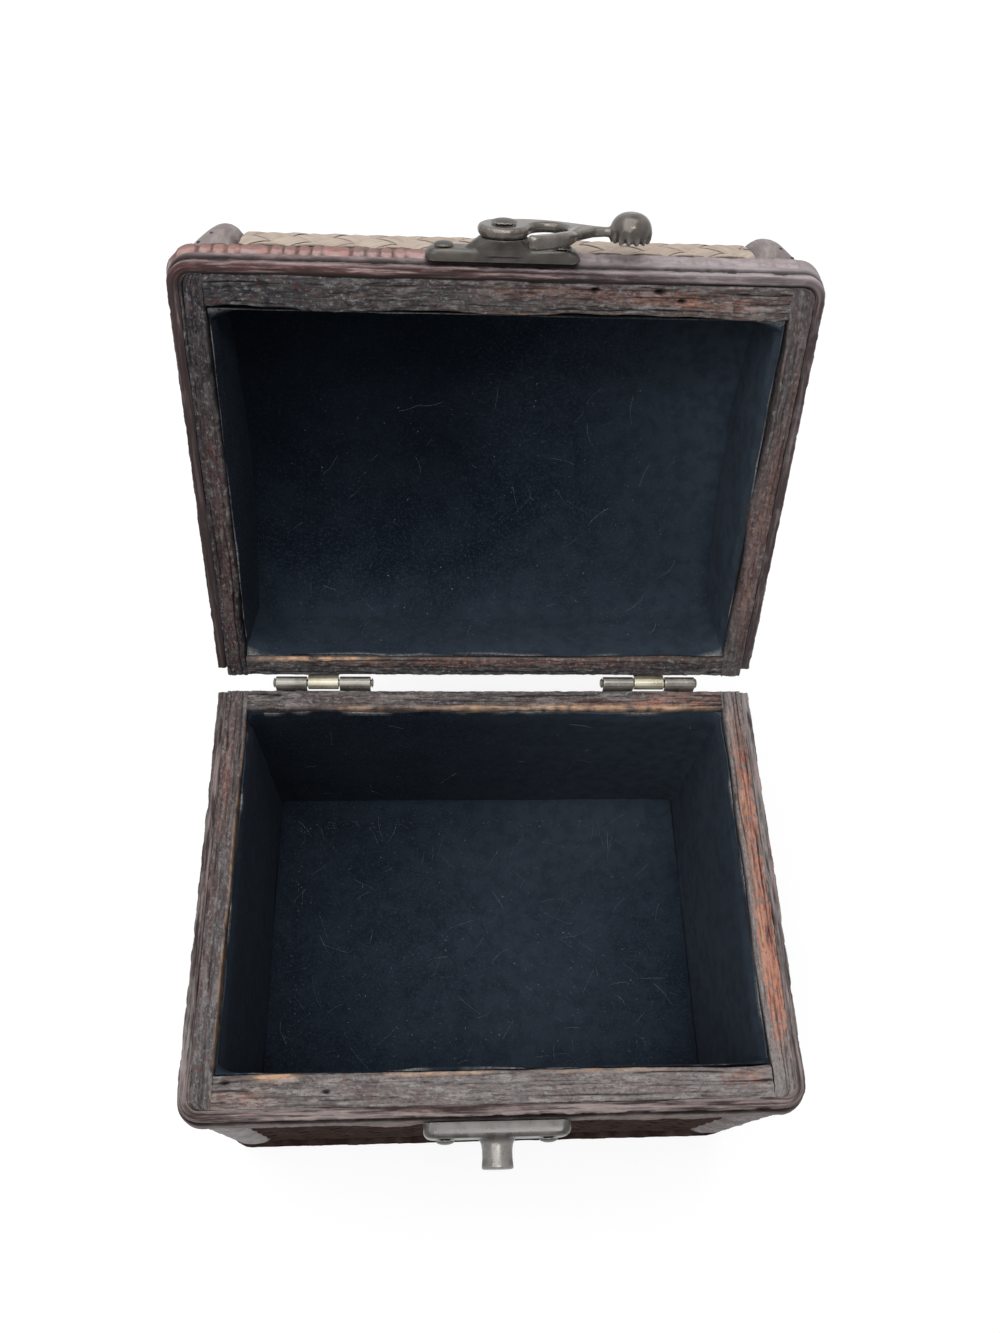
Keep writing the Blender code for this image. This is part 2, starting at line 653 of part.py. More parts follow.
def drill(bm, x, z, radius, back, face):
    """Cuts a hole through the front fittings at a place on the front face."""
    hole = [(radius, back - SEAM), (radius, face + SEAM)]
    return combine(bm, "DIFFERENCE", turned(hole, lambda u, v, proud: front_place(x + u, z + v, proud)))


def plate_screw(x, z, face):
    under = face + SEAM
    profile = [(SCREW_SHANK, PLATE_BACK), (SCREW_SHANK, under), *domed(SCREW_RADIUS, under, SCREW_DOME)]
    return turned(profile, lambda u, v, proud: front_place(x + u, z + v, proud), SCREW_SIDES)


def latch_plate():
    """The lid's plate: a slim bar with a sloping boss that carries the hook clear of the screws."""
    bm = pillow_plate(LATCH_PLATE_LENGTH, LATCH_PLATE_HEIGHT, PIVOT_Z, LATCH_FACE)
    foot = BOSS_TOP_RADIUS + BOSS_SLOPE
    middle = (PLATE_BACK + LATCH_FACE) / 2
    squat = LATCH_PLATE_HEIGHT / 2 + PLATE_ROUND
    rings = []
    for across, tall, proud in ((foot, squat, middle), (foot, squat, LATCH_FACE),
                                (BOSS_TOP_RADIUS, BOSS_TOP_RADIUS - PLATE_ROUND, BOSS_FACE)):
        circle = arc((0, 0), 1, 0, 360, ROUND_SIDES)[:-1]
        rings.append([front_place(u * across, PIVOT_Z + v * tall, proud) for u, v in circle])
    bm = combine(bm, "UNION", loft(rings))
    for x in (-LATCH_SCREW_OFFSET, LATCH_SCREW_OFFSET):
        bm = drill(bm, x, PIVOT_Z, SCREW_SHANK + SCREW_CLEARANCE, PLATE_BACK, LATCH_FACE)
    return drill(bm, 0, PIVOT_Z, RIVET_RADIUS + RIVET_CLEARANCE, PLATE_BACK, BOSS_FACE)


def strike_plate():
    """The base's plate with its spool-shaped stud, which the hook's slot closes round."""
    bm = pillow_plate(STRIKE_LENGTH, STRIKE_HEIGHT, STRIKE_Z, STRIKE_FACE)
    waist = STUD_RADIUS - STUD_WAIST
    end = STRIKE_FACE + STUD_LENGTH
    root = STUD_RADIUS + STUD_ROOT_FLARE
    profile = [
        (root, STRIKE_FACE - STRIKE_THICKNESS / 2), (root, STRIKE_FACE + SEAM),
        (STUD_RADIUS, STRIKE_FACE + STUD_ROOT), (waist, STRIKE_FACE + STUD_SHOULDER), (waist, end - STUD_LIP),
        (STUD_RADIUS, end - PLATE_ROUND / 2), (STUD_RADIUS - PLATE_ROUND / 2, end),
    ]
    stud = turned(profile, lambda u, v, proud: front_place(u, STUD_Z + v, proud), STUD_SIDES)
    bm = combine(bm, "UNION", stud)
    for x in (-STRIKE_SCREW_OFFSET, STRIKE_SCREW_OFFSET):
        bm = drill(bm, x, STUD_Z, SCREW_SHANK + SCREW_CLEARANCE, PLATE_BACK, STRIKE_FACE)
    return bm


def polar(radius, angle):
    return Vector((radius * math.cos(angle), radius * math.sin(angle)))


def hook_outline():
    """Outline (x, z about the rivet) of the hook, along +x: its eye, its slot for the stud and its neck."""
    start = math.degrees(EYE_START)
    seat = math.degrees(HOOK_SEAT_ANGLE)
    sweep = math.degrees(HOOK_ARM_SWEEP)
    eye = arc((0, 0), EYE_RADIUS, start, 360 + seat, EYE_STEPS)
    slot_end = arc(polar(STUD_REACH, HOOK_SEAT_ANGLE), SLOT_RADIUS, seat + 180, seat, SLOT_STEPS)
    arm_inside = arc((0, 0), ARM_INNER, seat, sweep, ARM_STEPS)
    tip_centre = polar(ARM_INNER + HOOK_ARM / 2, HOOK_ARM_SWEEP)
    tip = arc(tip_centre, HOOK_ARM / 2, sweep - 180, sweep, TIP_STEPS)
    arm_outside = arc((0, 0), ARM_OUTER, sweep, math.degrees(HOOK_NECK_ANGLE), TIP_STEPS)
    neck_end = KNOB_REACH - KNOB_RADIUS / 2
    neck = [(NECK_START, -NECK_RADIUS), (NECK_AT, -NECK_WAIST), (neck_end, -NECK_RADIUS),
            (neck_end, NECK_RADIUS), (NECK_AT, NECK_WAIST), (NECK_START, NECK_RADIUS)]
    shoulder = interpolate_bezier(
        Vector((NECK_START, NECK_RADIUS)), Vector((ARM_INNER, SHOULDER_RISE)),
        polar(SHOULDER_REACH, SHOULDER_ANGLE), polar(EYE_RADIUS, EYE_START), SHOULDER_STEPS)
    back = [tuple(point) for point in shoulder[1:-1]]
    return eye + slot_end[1:-1] + arm_inside + tip[1:-1] + arm_outside + neck + back


def knob(place):
    """A shell-like knob: a smooth dome that faces out, fluted down to a scalloped and hollow hem."""
    sides = KNOB_FLUTES * KNOB_SIDES_PER_FLUTE
    hollow = arc((0, 0), KNOB_RADIUS * KNOB_HOLLOW, 0, 360, sides)[:-1]
    rings = [[place(u, v, -KNOB_SKIRT + KNOB_SCALLOP) for u, v in hollow]]
    for station in range(KNOB_STEPS + 1):
        share = station / KNOB_STEPS
        angle = KNOB_FROM + (KNOB_TO - KNOB_FROM) * share
        radius = KNOB_RADIUS * math.cos(angle) ** KNOB_FULLNESS
        rise = KNOB_DOME if angle > 0 else KNOB_SKIRT / math.sin(-KNOB_FROM)
        fluting = max(0, 1 - 2 * share)
        ring = []
        for k in range(sides):
            around = 2 * math.pi * k / sides
            lobe = (3 * abs(math.cos(KNOB_FLUTES / 2 * around)) - 2) * fluting
            out = rise * math.sin(angle) - KNOB_SCALLOP / 2 * lobe * fluting
            fluted = radius + KNOB_FLUTE_DEPTH * lobe
            ring.append(place(fluted * math.cos(around), fluted * math.sin(around), out))
        rings.append(ring)
    return loft(rings)


def latch_hook():
    """The cast hook. Its arm is stouter and lifts towards the tip, and its neck thins out before the knob."""
    def place(x, z, proud):
        return front_place(x, PIVOT_Z + z, proud)

    bm = prism(hook_outline(), place, HOOK_BACK, HOOK_FACE)
    middle = (HOOK_BACK + HOOK_FACE) / 2
    for v in bm.verts:
        x, z = v.co.x, v.co.z - PIVOT_Z
        thinning = NECK_THINNING * min(1, max(0, (x - ARM_INNER) / (NECK_AT - ARM_INNER)))
        v.co.y += (-HALF_DEPTH - middle - v.co.y) * thinning
        if math.hypot(x, z) > ARM_INNER - SEAM and z < 0:
            share = (math.atan2(z, x) - HOOK_NECK_ANGLE) / (HOOK_ARM_SWEEP - HOOK_NECK_ANGLE)
            share = min(1, max(0, share))
            v.co.y += (v.co.y + HALF_DEPTH + middle) * HOOK_ARM_SWELL * min(1, 3 * share)
            v.co.y -= HOOK_TIP_RISE * share
    bmesh.ops.recalc_face_normals(bm, faces=bm.faces)
    rims = [edge for edge in bm.edges if edge.calc_face_angle() > RIM_ANGLE]
    bmesh.ops.bevel(bm, geom=rims, offset=HOOK_ROUND, segments=2, profile=0.5, affect="EDGES",
                    clamp_overlap=True)
    bulb = knob(lambda u, v, out: place(KNOB_REACH + u, v, middle + out))
    bm = combine(bm, "UNION", bulb)
    return drill(bm, 0, PIVOT_Z, RIVET_RADIUS + RIVET_CLEARANCE, HOOK_BACK, HOOK_FACE)


def add_latch(bronze, lid, hook):
    add("strike_plate", strike_plate(), bronze)
    for x, name in ((-STRIKE_SCREW_OFFSET, "left"), (STRIKE_SCREW_OFFSET, "right")):
        add(f"strike_plate_{name}_screw", plate_screw(x, STUD_Z, STRIKE_FACE), bronze)
    add("latch_plate", latch_plate(), bronze, lid)
    for x, name in ((-LATCH_SCREW_OFFSET, "left"), (LATCH_SCREW_OFFSET, "right")):
        add(f"latch_plate_{name}_screw", plate_screw(x, PIVOT_Z, LATCH_FACE), bronze, lid)
    head = domed(RIVET_HEAD_RADIUS, HOOK_FACE + SEAM, RIVET_DOME)
    profile = [(RIVET_RADIUS, PLATE_BACK), (RIVET_RADIUS, HOOK_FACE + SEAM), *head]
    rivet = turned(profile, lambda u, v, proud: front_place(u, PIVOT_Z + v, proud))
    add("latch_rivet", rivet, bronze, lid)
    add("latch_hook", latch_hook(), bronze, hook)


def main():
    for obj in list(bpy.data.objects):
        bpy.data.objects.remove(obj)
    wood = make_material("stained_wood", (0.075, 0.055, 0.05), 0.55)
    felt = make_material("navy_felt", (0.012, 0.016, 0.023), 0.95)
    mat = make_material("woven_mat", (0.45, 0.36, 0.29), 0.7)
    leather = make_material("worn_leather", (0.16, 0.11, 0.095), 0.5)
    brass = make_material("aged_brass", (0.42, 0.38, 0.29), 0.35, 1.0)
    bronze = make_material("antique_bronze", (0.2, 0.18, 0.165), 0.4, 1.0)
    lid = add_pivot("lid_pivot", HINGE_AXIS, -LID_OPEN_ANGLE)
    hook_at = Vector(front_place(0, PIVOT_Z, HOOK_BACK))
    hook = add_pivot("hook_pivot", hook_at, parent=lid)
    add_boards(wood, lid)
    add_linings(felt, lid)
    add_mats(mat, lid)
    add_bindings(leather, lid)
    add_hinges(brass, lid)
    add_latch(bronze, lid, hook)


main()
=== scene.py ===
"""Looks of a small wooden treasure chest with a barrel lid.

Lengths are in millimetres unless a name says otherwise, and points are those of the shut chest.
"""

import json
import math

import bmesh
import bpy
import numpy as np
from mathutils import Matrix, Vector


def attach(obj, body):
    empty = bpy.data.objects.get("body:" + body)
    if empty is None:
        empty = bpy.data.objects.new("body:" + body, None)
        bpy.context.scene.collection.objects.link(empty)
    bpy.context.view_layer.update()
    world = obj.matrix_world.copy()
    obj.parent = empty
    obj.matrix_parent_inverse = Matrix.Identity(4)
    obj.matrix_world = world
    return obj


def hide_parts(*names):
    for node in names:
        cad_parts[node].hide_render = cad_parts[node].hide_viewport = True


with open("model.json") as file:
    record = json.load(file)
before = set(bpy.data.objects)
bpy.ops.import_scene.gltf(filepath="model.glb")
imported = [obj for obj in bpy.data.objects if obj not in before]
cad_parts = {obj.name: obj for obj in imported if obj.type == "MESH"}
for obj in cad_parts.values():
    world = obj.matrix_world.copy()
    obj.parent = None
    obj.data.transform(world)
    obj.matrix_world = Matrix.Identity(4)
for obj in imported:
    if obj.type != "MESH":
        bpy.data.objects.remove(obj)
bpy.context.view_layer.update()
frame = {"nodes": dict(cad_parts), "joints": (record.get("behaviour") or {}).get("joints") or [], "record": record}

MM = 0.001

# Shapes that repeat the frame's own sizes
EAVE_RADIUS = 14
FRONT_CORNER = 3.5
BACK_CORNER = 1
SEAM = 0.3
RIDGE_PROUD = 2.8
RIDGE_WIDTH = 3.6
BAND_PROUD = 3.9
BAND_SHELF = 8.6
LID_BAND_FLARE = 1.1
RIM_BINDING = 11.2
BASE_BINDING_STOP = 0.5
LID_BINDING_STOP = 2.6
FOOT_PROUD = 3.4
FOOT_BINDING = 10
CORNER_PROUD = 2.8
CORNER_LEG = 11
EDGE_PROUD = 6.4
EDGE_FLANGE = 14.2
EDGE_SIDE_PROUD = 2.3
EDGE_SIDE_DROP = 7.8
LINING_DROP = 1.4
ARCH_INSET = 3.5

# Worn rims of the boards: the spacing of points, how round their edges are, and the rows down their faces
RIM_STEP = 0.5
RIM_CROSS_STEP = 0.24
RIM_ROUND = 0.75
BASE_OUTER_ROUND = 0.15
SIDE_ROWS = np.array([0.15, 0.4, 0.8, 1.4, 2.4, 4, 8])

# Stamped marks along the leather bands: one long mark and four short ones in each repeat
MARK_REPEAT = 21.4
MARK_CENTRES = (0, 5.7, 9.3, 12.9, 16.3)
MARK_HALVES = (3.7, 1.5, 1.5, 1.5, 1.5)
MARK_RISE = 0.7
MARK_START = 6.3
MARK_BOW = 1.9

# Tacks of the edge bindings, with rings of a radius and a rise
TACK_FIRST = 4.0
TACK_PITCH = 22.0
TACK_INSET = 5.4
TACK_SUNK = 0.28
TACK_RINGS = ((0.6, -0.5), (0.6, 0.1), (0.42, 0.3), (0.15, 0.36))
TACK_SIDES = 10

# Plaited strips
STRIP_PITCH = 7.8
STRIP_WIDTH = 7.7
STRIP_THICKNESS = 0.55
STRIP_CROWN = 0.16
STRIP_LIFT = 0.36

# Felt: how far in from the board its face and its back are, and the rows of points on each
FELT_FACE = 1.1
FELT_BACK = 0.15
BARREL_FELT_BACK = 0.1
CARD_ROWS = (48, 12)
FLOOR_ROWS = (92, 8)
BARREL_ROWS = (120, 10)

# Painted highlight on the front of the strike plate's stud: how far back it reaches and how strong it is
STUD_HIGHLIGHT_LENGTH = 7.5
STUD_PAINTED_HIGHLIGHT = 0.36

# Places and turns of the shut and the open lid
hinge_joint = next(joint for joint in frame["joints"] if joint["name"] == "lid_hinge")
HINGE_AT = Vector(hinge_joint["pos_m"])
LID_OPEN_ANGLE = math.radians(hinge_joint["range_deg"][1])
OPEN_LID = (Matrix.Translation(HINGE_AT) @ Matrix.Rotation(-LID_OPEN_ANGLE, 4, "X")
            @ Matrix.Translation(-HINGE_AT))
BODY_OF = {node: body for body, nodes in frame["record"]["behaviour"]["bodies"].items() for node in nodes}


def shut_box(node):
    """Lowest and highest corner of a node on the shut chest."""
    turn = Matrix.Identity(4) if BODY_OF[node] == "base" else OPEN_LID.inverted()
    corners = np.array([turn @ v.co for v in frame["nodes"][node].data.vertices]) / MM
    return corners.min(0), corners.max(0)


HALF_WIDTH, HALF_DEPTH, BASE_HEIGHT = shut_box("base_right_board")[1]
BOARD = HALF_WIDTH - shut_box("base_right_board")[0][0]
LID_RIM = shut_box("lid_front_board")[0][2]
EAVES = shut_box("lid_front_board")[1][2]
CROWN_RISE = shut_box("lid_top_panel")[1][2] - EAVES
FRONT_BOARD = HALF_DEPTH + shut_box("base_front_board")[1][1]
INNER_X = HALF_WIDTH - BOARD
LID_MAT_FACE = shut_box("lid_barrel_mat")[1][2] - EAVES - CROWN_RISE
END_MAT_FACE = shut_box("lid_right_mat")[1][0] - HALF_WIDTH
WALL_LOW, WALL_HIGH = FOOT_BINDING + SEAM, BASE_HEIGHT - RIM_BINDING - SEAM

# Repeatable noise


def cell_value(column, row, seed):
    """A repeatable value from -1 to 1 for each whole-number cell."""
    cell = column.astype(np.int64) * 374761393 + row.astype(np.int64) * 668265263
    mixed = (cell + seed * 69069) & 0xFFFFFFFF
    mixed = ((mixed ^ (mixed >> 13)) * 1274126177) & 0xFFFFFFFF
    return ((mixed ^ (mixed >> 16)) & 0xFFFFFF) / 0x7FFFFF - 1


def smooth(low, high, value):
    """A smooth step from 0 at low to 1 at high."""
    share = np.clip((value - low) / (high - low), 0, 1)
    return share * share * (3 - 2 * share)


def bell(value, middle, width):
    return np.exp(-((value - middle) / width) ** 2)


def noise(u, v, seed=0, octaves=1):
    """Smooth noise of about -1 to 1 over a plane. Each octave is twice as fine and half as strong."""
    total, strength = 0, 1
    for octave in range(octaves):
        u_cell, v_cell = np.floor(u), np.floor(v)
        fu, fv = u - u_cell, v - v_cell
        fu, fv = fu * fu * (3 - 2 * fu), fv * fv * (3 - 2 * fv)
        values = [[cell_value(u_cell + a, v_cell + b, seed + 101 * octave) for b in (0, 1)] for a in (0, 1)]
        near = values[0][0] * (1 - fv) + values[0][1] * fv
        far = values[1][0] * (1 - fv) + values[1][1] * fv
        total = total + strength * (near * (1 - fu) + far * fu)
        u, v, strength = u * 2 + 17.3, v * 2 + 5.7, strength / 2
    return total


def line_noise(u, scale, seed, octaves=1):
    """Noise along a line, the same all across it."""
    return noise(u * scale, u * 0, seed, octaves)


# Meshes


def triples(x, y, z):
    """Points, or other rows of three, from arrays that are spread to one shape."""
    return np.stack(np.broadcast_arrays(x, y, z), axis=-1)


def there_and_back(low, high, rows):
    """Values from low to high in one number of rows, and back in another."""
    return np.concatenate((np.linspace(low, high, rows[0]), np.linspace(high, low, rows[1])))


def place_piece(obj, body, material, node=None):
    """Puts a finished piece on its body, in place of a node if it stands for one."""
    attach(obj, body)
    if node:
        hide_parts(node)
    obj.data.materials.clear()
    obj.data.materials.append(material)
    return obj


def linked_object(name, data):
    obj = bpy.data.objects.new(name, data)
    bpy.context.scene.collection.objects.link(obj)
    return obj


def mesh_object(name, verts, faces, body, values=None, sharp=50):
    """A smooth-shaded mesh from points on the shut chest. values holds arrays, one entry for each point."""
    mesh = bpy.data.meshes.new(name)
    mesh.from_pydata((np.asarray(verts, float) * MM).tolist(), [], faces)
    if body != "base":
        mesh.transform(OPEN_LID)
    bm = bmesh.new()
    bm.from_mesh(mesh)
    bmesh.ops.recalc_face_normals(bm, faces=bm.faces)
    bm.to_mesh(mesh)
    bm.free()
    for key, array in (values or {}).items():
        array = np.asarray(array, np.float32)
        kind, field = ("FLOAT_VECTOR", "vector") if array.ndim == 2 else ("FLOAT", "value")
        mesh.attributes.new(key, kind, "POINT").data.foreach_set(field, array.ravel())
    mesh.shade_smooth()
    mesh.set_sharp_from_angle(angle=math.radians(sharp))
    return linked_object(name, mesh)


def lattice_object(name, points, body, values=None, loop=False, sharp=50):
    """A closed mesh through an array of rings. In a loop the last ring joins the first."""
    shape = points.shape[:2]
    index = np.arange(shape[0] * shape[1]).reshape(shape)
    following = np.roll(index, -1, axis=1)
    ahead, ahead_following = np.roll(index, -1, axis=0), np.roll(following, -1, axis=0)
    quads = np.stack((index, following, ahead_following, ahead), axis=-1)
    faces = (quads if loop else quads[:-1]).reshape(-1, 4).tolist()
    if not loop:
        faces += [index[0].tolist(), index[-1].tolist()]
    flat = {}
    for key, array in (values or {}).items():
        array = np.asarray(array, float)
        flat[key] = array.reshape(-1, 3) if array.ndim == 3 else np.broadcast_to(array, shape).ravel()
    return mesh_object(name, points.reshape(-1, 3), faces, body, flat, sharp)


def stand_in(node, suffix, points, values, material, loop=False, sharp=50):
    """A lattice in the place of a node."""
    obj = lattice_object(node + suffix, points, BODY_OF[node], values, loop, sharp)
    return place_piece(obj, BODY_OF[node], material, node)


def add_rings(verts, faces, rings):
    """Adds a closed skin through rings of points to a mesh's lists."""
    first, sides = len(verts), len(rings[0])
    for ring in rings:
        verts.extend(map(tuple, ring))
    for k in range(len(rings) - 1):
        for j in range(sides):
            a, b = first + k * sides + j, first + k * sides + (j + 1) % sides
            faces.append((a, b, b + sides, a + sides))
    faces.append(tuple(range(first, first + sides)))
    faces.append(tuple(range(len(verts) - sides, len(verts))))


def heading(points, loop=False):
    """The direction at each point of a path, or at each ring of a lattice."""
    if loop:
        return np.roll(points, -1, axis=0) - np.roll(points, 1, axis=0)
    return np.gradient(points, axis=0)


def push_out(points, amount, loop=False):
    """Moves a lattice's points along its outward normals."""
    around = np.roll(points, -1, axis=1) - np.roll(points, 1, axis=1)
    normal = np.cross(heading(points, loop), around)
    normal /= np.maximum(np.linalg.norm(normal, axis=2, keepdims=True), 1e-9)
    outward = (normal * (points - points.mean(axis=1, keepdims=True))).sum()
    return points + normal * (np.sign(outward) * amount)[..., None]


def run_length(points):
    """How far along a polyline each of its points is."""
    return np.concatenate(([0], np.cumsum(np.linalg.norm(np.diff(points, axis=0), axis=1))))


def resample(points, spacing):
    """Points at an even spacing along a polyline, its ends kept."""
    length = run_length(points)
    wanted = np.linspace(0, length[-1], max(2, int(round(length[-1] / spacing)) + 1))
    return np.stack([np.interp(wanted, length, column) for column in points.T], axis=1)


def rounded_loop(corners, spacing):
    """A closed outline from (u, v, radius) corners, at an even spacing."""
    flat = np.array([corner[:2] for corner in corners], float)
    points = []
    for k, (_, _, radius) in enumerate(corners):
        here = flat[k]
        ends = []
        for target in (flat[k - 1], flat[(k + 1) % len(flat)]):
            reach = np.linalg.norm(target - here)
            ends.append(here + (target - here) / reach * min(radius, reach / 2))
        for share in np.linspace(0, 1, 6):
            points.append((1 - share) ** 2 * ends[0] + 2 * share * (1 - share) * here + share ** 2 * ends[1])
    return resample(np.array(points + [points[0]]), spacing)[:-1]


def path_normals(points, loop=False):
    """Unit normals to the left of a flat path's direction."""
    along = heading(points, loop)
    along /= np.linalg.norm(along, axis=1, keepdims=True)
    return np.stack((-along[:, 1], along[:, 0]), axis=1)


def arc(centre, radius, start, end, steps=16):
    angles = np.radians(np.linspace(start, end, steps))
    return np.stack((centre[0] + radius * np.cos(angles), centre[1] + radius * np.sin(angles)), axis=1)


def barrel(proud, rise, spacing=1.0):
    """Points (y, z) over the barrel and its straight legs, which start at a rise above the lid's rim."""
    half = HALF_DEPTH - EAVE_RADIUS
    crown_radius = (half ** 2 + CROWN_RISE ** 2 - EAVE_RADIUS ** 2) / (2 * (CROWN_RISE - EAVE_RADIUS))
    below = crown_radius - CROWN_RISE
    join = math.degrees(math.atan2(below, half))
    foot = LID_RIM + rise
    points = np.concatenate((
        [(-HALF_DEPTH - proud, foot)],
        arc((-half, EAVES), EAVE_RADIUS + proud, 180, 180 - join),
        arc((0, EAVES - below), crown_radius + proud, 180 - join, join, 40),
        arc((half, EAVES), EAVE_RADIUS + proud, join, 0),
        [(HALF_DEPTH + proud, foot)]))
    return resample(points, spacing)


def lined_barrel(inset, rise, spacing=1.0):
    """The barrel inside the boards, squeezed back so that it clears the thicker front board."""
    line = barrel(-inset, rise, spacing)
    half = HALF_DEPTH - inset
    line[:, 0] += (FRONT_BOARD - BOARD) * (half - line[:, 0]) / (2 * half)
    return line


def corner_arc(x, y, radius, start):
    """A quarter turn round a corner of the plan, where x and y are -1 or 1."""
    return arc((x * (HALF_WIDTH - radius), y * (HALF_DEPTH - radius)), radius, start, start + 90)


def rim_run(back_stop, spacing):
    """Plan points of the U round the left end, the front and the right end, with outward normals."""
    back = HALF_DEPTH - back_stop
    points = resample(np.concatenate((
        [(-HALF_WIDTH, back)], corner_arc(-1, -1, FRONT_CORNER, 180),
        corner_arc(1, -1, FRONT_CORNER, 270), [(HALF_WIDTH, back)])), spacing)
    return points, -path_normals(points)


def foot_run(spacing):
    """Plan points of the closed loop round the base's foot, with outward normals."""
    first = corner_arc(-1, -1, FRONT_CORNER, 180)
    points = resample(np.concatenate((
        first, corner_arc(1, -1, FRONT_CORNER, 270), corner_arc(1, 1, BACK_CORNER, 0),
        corner_arc(-1, 1, BACK_CORNER, 90), first[:1])), spacing)[:-1]
    return points, -path_normals(points, loop=True)


def plan_sweep(path, normals, section):
    """Sweeps a section of (proud, z) points along a plan path."""
    flat = path[:, None, :] + normals[:, None, :] * section[None, :, :1]
    height = np.broadcast_to(section[None, :, 1:], (len(path), len(section), 1))
    return np.concatenate((flat, height), axis=2)


def on_wall(axis, side, face):
    """A function that puts points (along, up, proud) on a wall that faces along x (axis 0) or y (axis 1)."""
    def put(along, up, proud):
        out = side * (face + proud)
        return triples(out, along, up) if axis == 0 else triples(along, out, up)

    return put


# Node materials


def add_node(owner, kind, inputs=None, output=0, **settings):
    """Adds a node with its settings and inputs to a material or the world, and returns one of its outputs."""
    tree = owner.node_tree
    made = tree.nodes.new(kind)
    for key, value in settings.items():
        setattr(made, key, value)
    for key, value in (inputs or {}).items():
        if isinstance(value, bpy.types.NodeSocket):
            tree.links.new(value, made.inputs[key])
        else:
            made.inputs[key].default_value = value
    return made.outputs[output]


def calc(owner, operation, first, second):
    return add_node(owner, "ShaderNodeMath", {0: first, 1: second}, operation=operation, use_clamp=True)


class Surface:
    """A material in the making: its colour so far, and short calls for its nodes."""

    def __init__(self, name, metallic=0.0, specular=0.5, grain=False):
        """With grain, noise follows the grain that the mesh carries, and else the object's own place."""
        self.material = bpy.data.materials.new(name)
        self.material.use_nodes = True
        self.shader = self.material.node_tree.nodes["Principled BSDF"]
        self.set("Metallic", metallic)
        self.set("Specular IOR Level", specular)
        self.colour = None
        if grain:
            self.place = self.node("ShaderNodeAttribute", output=1, attribute_name="grain")
        else:
            self.place = self.stretched(self.node("ShaderNodeTexCoord", output=3), (1 / MM, 1 / MM, 1 / MM))

    def set(self, key, value):
        self.shader.inputs[key].default_value = value

    def node(self, kind, inputs=None, output=0, **settings):
        return add_node(self.material, kind, inputs, output, **settings)

    def stretched(self, place, scale):
        return self.node("ShaderNodeVectorMath", {0: place, 1: scale}, operation="MULTIPLY")

    def mark(self, name):
        """A number that the mesh carries for each point."""
        return self.node("ShaderNodeAttribute", output=2, attribute_name=name)

    def noise(self, scale, detail=3.0, roughness=0.6):
        """Noise of so many features per millimetre, along each axis or along all of them."""
        scale = scale if isinstance(scale, tuple) else (scale, scale, scale)
        place = self.stretched(self.place, scale)
        inputs = {"Vector": place, "Scale": 1.0, "Detail": detail, "Roughness": roughness}
        return self.node("ShaderNodeTexNoise", inputs)

    def spread(self, value, low, high, most=1.0):
        """A smooth step from 0 at low to most at high."""
        inputs = {"Value": value, "From Min": low, "From Max": high, "To Max": most}
        return self.node("ShaderNodeMapRange", inputs, interpolation_type="SMOOTHSTEP")

    def ramp(self, value, first, last, low=0.0, high=1.0):
        """Runs evenly from first, where a value is low, to last, where it is high."""
        inputs = {"Value": value, "From Min": low, "From Max": high, "To Min": first, "To Max": last}
        return self.node("ShaderNodeMapRange", inputs)

    def plus(self, first, second):
        return calc(self.material, "ADD", first, second)

    def times(self, first, second):
        return calc(self.material, "MULTIPLY", first, second)

    def mix(self, factor, first, second):
        """A colour between two, each a colour or a socket."""
        first, second = ((*c, 1) if isinstance(c, tuple) else c for c in (first, second))
        return self.node("ShaderNodeMix", {0: factor, 6: first, 7: second}, output=2, data_type="RGBA")

    def paint(self, factor, colour):
        """Lays a colour over the colour so far."""
        self.colour = self.mix(factor, self.colour, colour)

    def finish(self, roughness, height=None, bump=0.0, distance=0.0):
        """Joins the colour, the roughness and the bump to the shader."""
        links = self.material.node_tree.links
        links.new(self.colour, self.shader.inputs["Base Color"])
        if isinstance(roughness, float):
            self.set("Roughness", roughness)
        else:
            links.new(roughness, self.shader.inputs["Roughness"])
        if height is not None:
            inputs = {"Height": height, "Strength": bump, "Distance": distance * MM}
            links.new(self.node("ShaderNodeBump", inputs), self.shader.inputs["Normal"])
        return self.material


